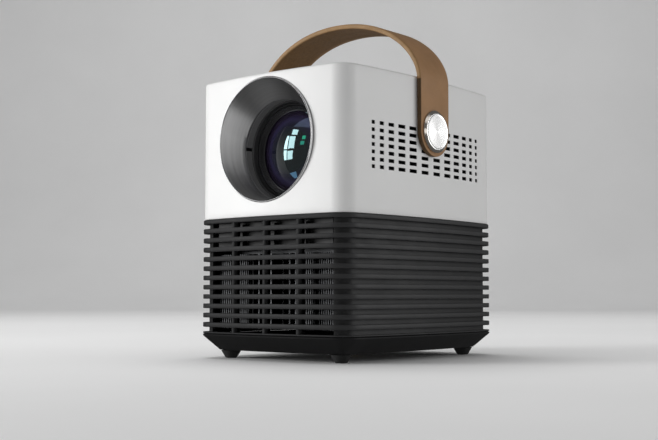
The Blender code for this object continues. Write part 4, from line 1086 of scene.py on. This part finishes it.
# ---- floor, light and camera ------------------------------------------------
YAW = math.radians(39.91)           # the camera looks along this heading
PITCH = math.radians(3.75)
CAMERA_PLACE = (0.4678, -0.5807, 0.0401)
FOCAL_LENGTH = 62.13
SWEEP_START, SWEEP_R, WALL_TOP = 2.2, 0.9, 4.0
SURROUND = 0.30                     # strength of the world for diffuse light
SURROUND_MIRRORED = 0.11            # and as it shows in reflections
KEY_PLACE = (-0.93, -1.09, 0.28)


def aim(obj, target):
    turn = (Vector(target) - obj.location).to_track_quat("-Z", "Y")
    obj.rotation_euler = turn.to_euler()


def soft_light(name, place, target, size, power, tint=(1, 1, 1), size_y=None, seen=True):
    data = bpy.data.lights.new(name, "AREA")
    data.shape = "RECTANGLE"
    data.size = size
    data.size_y = size_y or size
    data.energy = power
    data.color = tint
    obj = bpy.data.objects.new(name, data)
    bpy.context.scene.collection.objects.link(obj)
    obj.location = place
    aim(obj, target)
    obj.visible_glossy = seen
    obj.visible_camera = False
    return obj


def backdrop():
    """A pale floor that sweeps up into a wall behind the object."""
    turns = [math.pi / 2 * k / 16 for k in range(17)]
    profile = [(-4.0, 0.0)]
    profile += [(SWEEP_START + SWEEP_R * math.sin(t), SWEEP_R - SWEEP_R * math.cos(t)) for t in turns]
    profile.append((SWEEP_START + SWEEP_R, WALL_TOP))
    mesh = bpy.data.meshes.new("backdrop")
    rows = [[Vector((across, along, up)) for along, up in profile] for across in (-5.0, 5.0)]
    points = rows[0] + rows[1]
    count = len(profile)
    faces = [(k, k + 1, count + k + 1, count + k) for k in range(count - 1)]
    mesh.from_pydata(points, [], faces)
    for polygon in mesh.polygons:
        polygon.use_smooth = True
    obj = bpy.data.objects.new("backdrop", mesh)
    bpy.context.scene.collection.objects.link(obj)
    obj.rotation_euler = (0, 0, YAW)
    paint = Paint("backdrop paper")
    paint.colour(paint.ramp(paint.noise(3, 4), [(0.3, (0.86, 0.86, 0.86)), (0.7, (0.90, 0.90, 0.90))]))
    paint.set(Roughness=0.9, Specular_IOR_Level=0.1)
    obj.data.materials.append(paint.mat)
    return obj


floor = backdrop()
floor.visible_glossy = False

world = bpy.data.worlds.new("studio")
world.use_nodes = True
surround = world.node_tree.nodes["Background"]
surround.inputs["Color"].default_value = (1, 1, 1, 1)
ray = world.node_tree.nodes.new("ShaderNodeLightPath")
dim = world.node_tree.nodes.new("ShaderNodeMath")
dim.operation = "MULTIPLY_ADD"
dim.inputs[1].default_value = SURROUND_MIRRORED - SURROUND
dim.inputs[2].default_value = SURROUND
world.node_tree.links.new(ray.outputs["Is Glossy Ray"], dim.inputs[0])
world.node_tree.links.new(dim.outputs[0], surround.inputs["Strength"])
bpy.context.scene.world = world

key = soft_light("key", KEY_PLACE, (0, 0, 0.12), 0.6, 14.5)
low_key = soft_light("low key", KEY_PLACE, (0, 0, 0.06), 0.6, 4.2)
fill = soft_light("fill", (1.25, 0.75, 0.17), (0, 0, 0.11), 0.9, 6.8)
top = soft_light("top", (-0.3, -0.35, 1.1), (0, 0, 0.15), 0.5, 1)
wash = soft_light("backdrop wash", (-0.6, 0.4, 1.9), (-0.8, 1.2, 0.4), 1.2, 16)


def lights_only(light, objects, allowed=True):
    """Limit a light to these objects, or keep it off them."""
    group = bpy.data.collections.new(light.name + " receivers")
    for obj in objects:
        group.objects.link(obj)
    light.light_linking.receiver_collection = group
    for entry in group.collection_objects:
        entry.light_linking.link_state = "INCLUDE" if allowed else "EXCLUDE"


def card(name, objects, azimuth, elevation, width, height, glow, tint=(1, 1, 1), diffuse=False):
    """A distant panel for these objects alone, given in degrees as they see it. It shows only as a
    reflection, unless it is to light them diffusely too."""
    distance = 1.5
    turn, rise = math.radians(azimuth), math.radians(elevation)
    away = Vector((math.sin(turn) * math.cos(rise), -math.cos(turn) * math.cos(rise), math.sin(rise)))
    centre = (Vector(objects[0].bound_box[0]) + Vector(objects[0].bound_box[6])) / 2
    wide = 2 * distance * math.tan(math.radians(width / 2))
    tall = 2 * distance * math.tan(math.radians(height / 2))
    power = glow * math.pi * wide * tall
    light = soft_light(name, centre + away * distance, centre, wide, power, tint, tall)
    light.visible_diffuse = diffuse
    lights_only(light, objects)


lights_only(key, glass + trim + throat + drum + inner + lower, False)
lights_only(low_key, lower)
for studio_light in (fill, top):
    lights_only(studio_light, glass + trim, False)
lights_only(wash, [floor])
card("trim card", trim, -40.0, 4.0, 60.0, 60.0, 1.5)
card("trim edge card", trim, 66.0, 6.0, 40.0, 60.0, 1.2)
card("rivet card", right_rivet, 140.0, 3.6, 18.0, 18.0, 0.75)
card("rivet upper card", right_rivet, 100.0, 38.0, 34.0, 18.0, 0.8)
card("rivet left card", right_rivet, 80.0, 4.0, 14.0, 14.0, 1.4)
card("funnel card", throat, 53.0, -2.0, 66.0, 104.0, 1.75)
card("drum card", drum, 50.0, 0.0, 40.0, 40.0, 0.9, diffuse=True)
CYAN = (0.62, 0.96, 1.0)
card("pane low left", glass, -51.5, 4.3, 8.0, 7.0, 12.0, CYAN)
card("pane low right", glass, -43.0, 4.0, 6.5, 6.5, 9.0, CYAN)
card("pane mid left", glass, -50.5, 13.5, 6.5, 9.5, 13.0, CYAN)
card("pane mid right", glass, -42.0, 13.5, 7.5, 9.5, 9.0, CYAN)
card("pane top", glass, -40.5, 21.5, 7.0, 4.0, 9.0, CYAN)
card("sky patch", glass, -32.0, 34.0, 24.0, 16.0, 0.8, (0.45, 0.62, 0.95))
card("green one", glass, -27.5, 17.5, 4.0, 3.0, 3.4, (0.05, 1.0, 0.6))
card("green two", glass, -28.5, 13.0, 4.5, 3.0, 2.8, (0.05, 0.9, 0.65))
card("blue low", glass, -45.0, -12.0, 16.0, 5.0, 2.4, (0.25, 0.62, 1.0))

camera_data = bpy.data.cameras.new("camera")
camera_data.lens = FOCAL_LENGTH
camera_data.sensor_width = 36.0
camera_data.clip_start = 0.01
camera = bpy.data.objects.new("camera", camera_data)
bpy.context.scene.collection.objects.link(camera)
ahead = Vector((-math.sin(YAW) * math.cos(PITCH), math.cos(YAW) * math.cos(PITCH), math.sin(PITCH)))
across = Vector((math.cos(YAW), math.sin(YAW), 0))
upward = across.cross(ahead)
frame_axes = Matrix((across, upward, -ahead)).transposed()
camera.matrix_world = Matrix.Translation(CAMERA_PLACE) @ frame_axes.to_4x4()
bpy.context.scene.camera = camera
bpy.context.scene.view_settings.view_transform = "Standard"
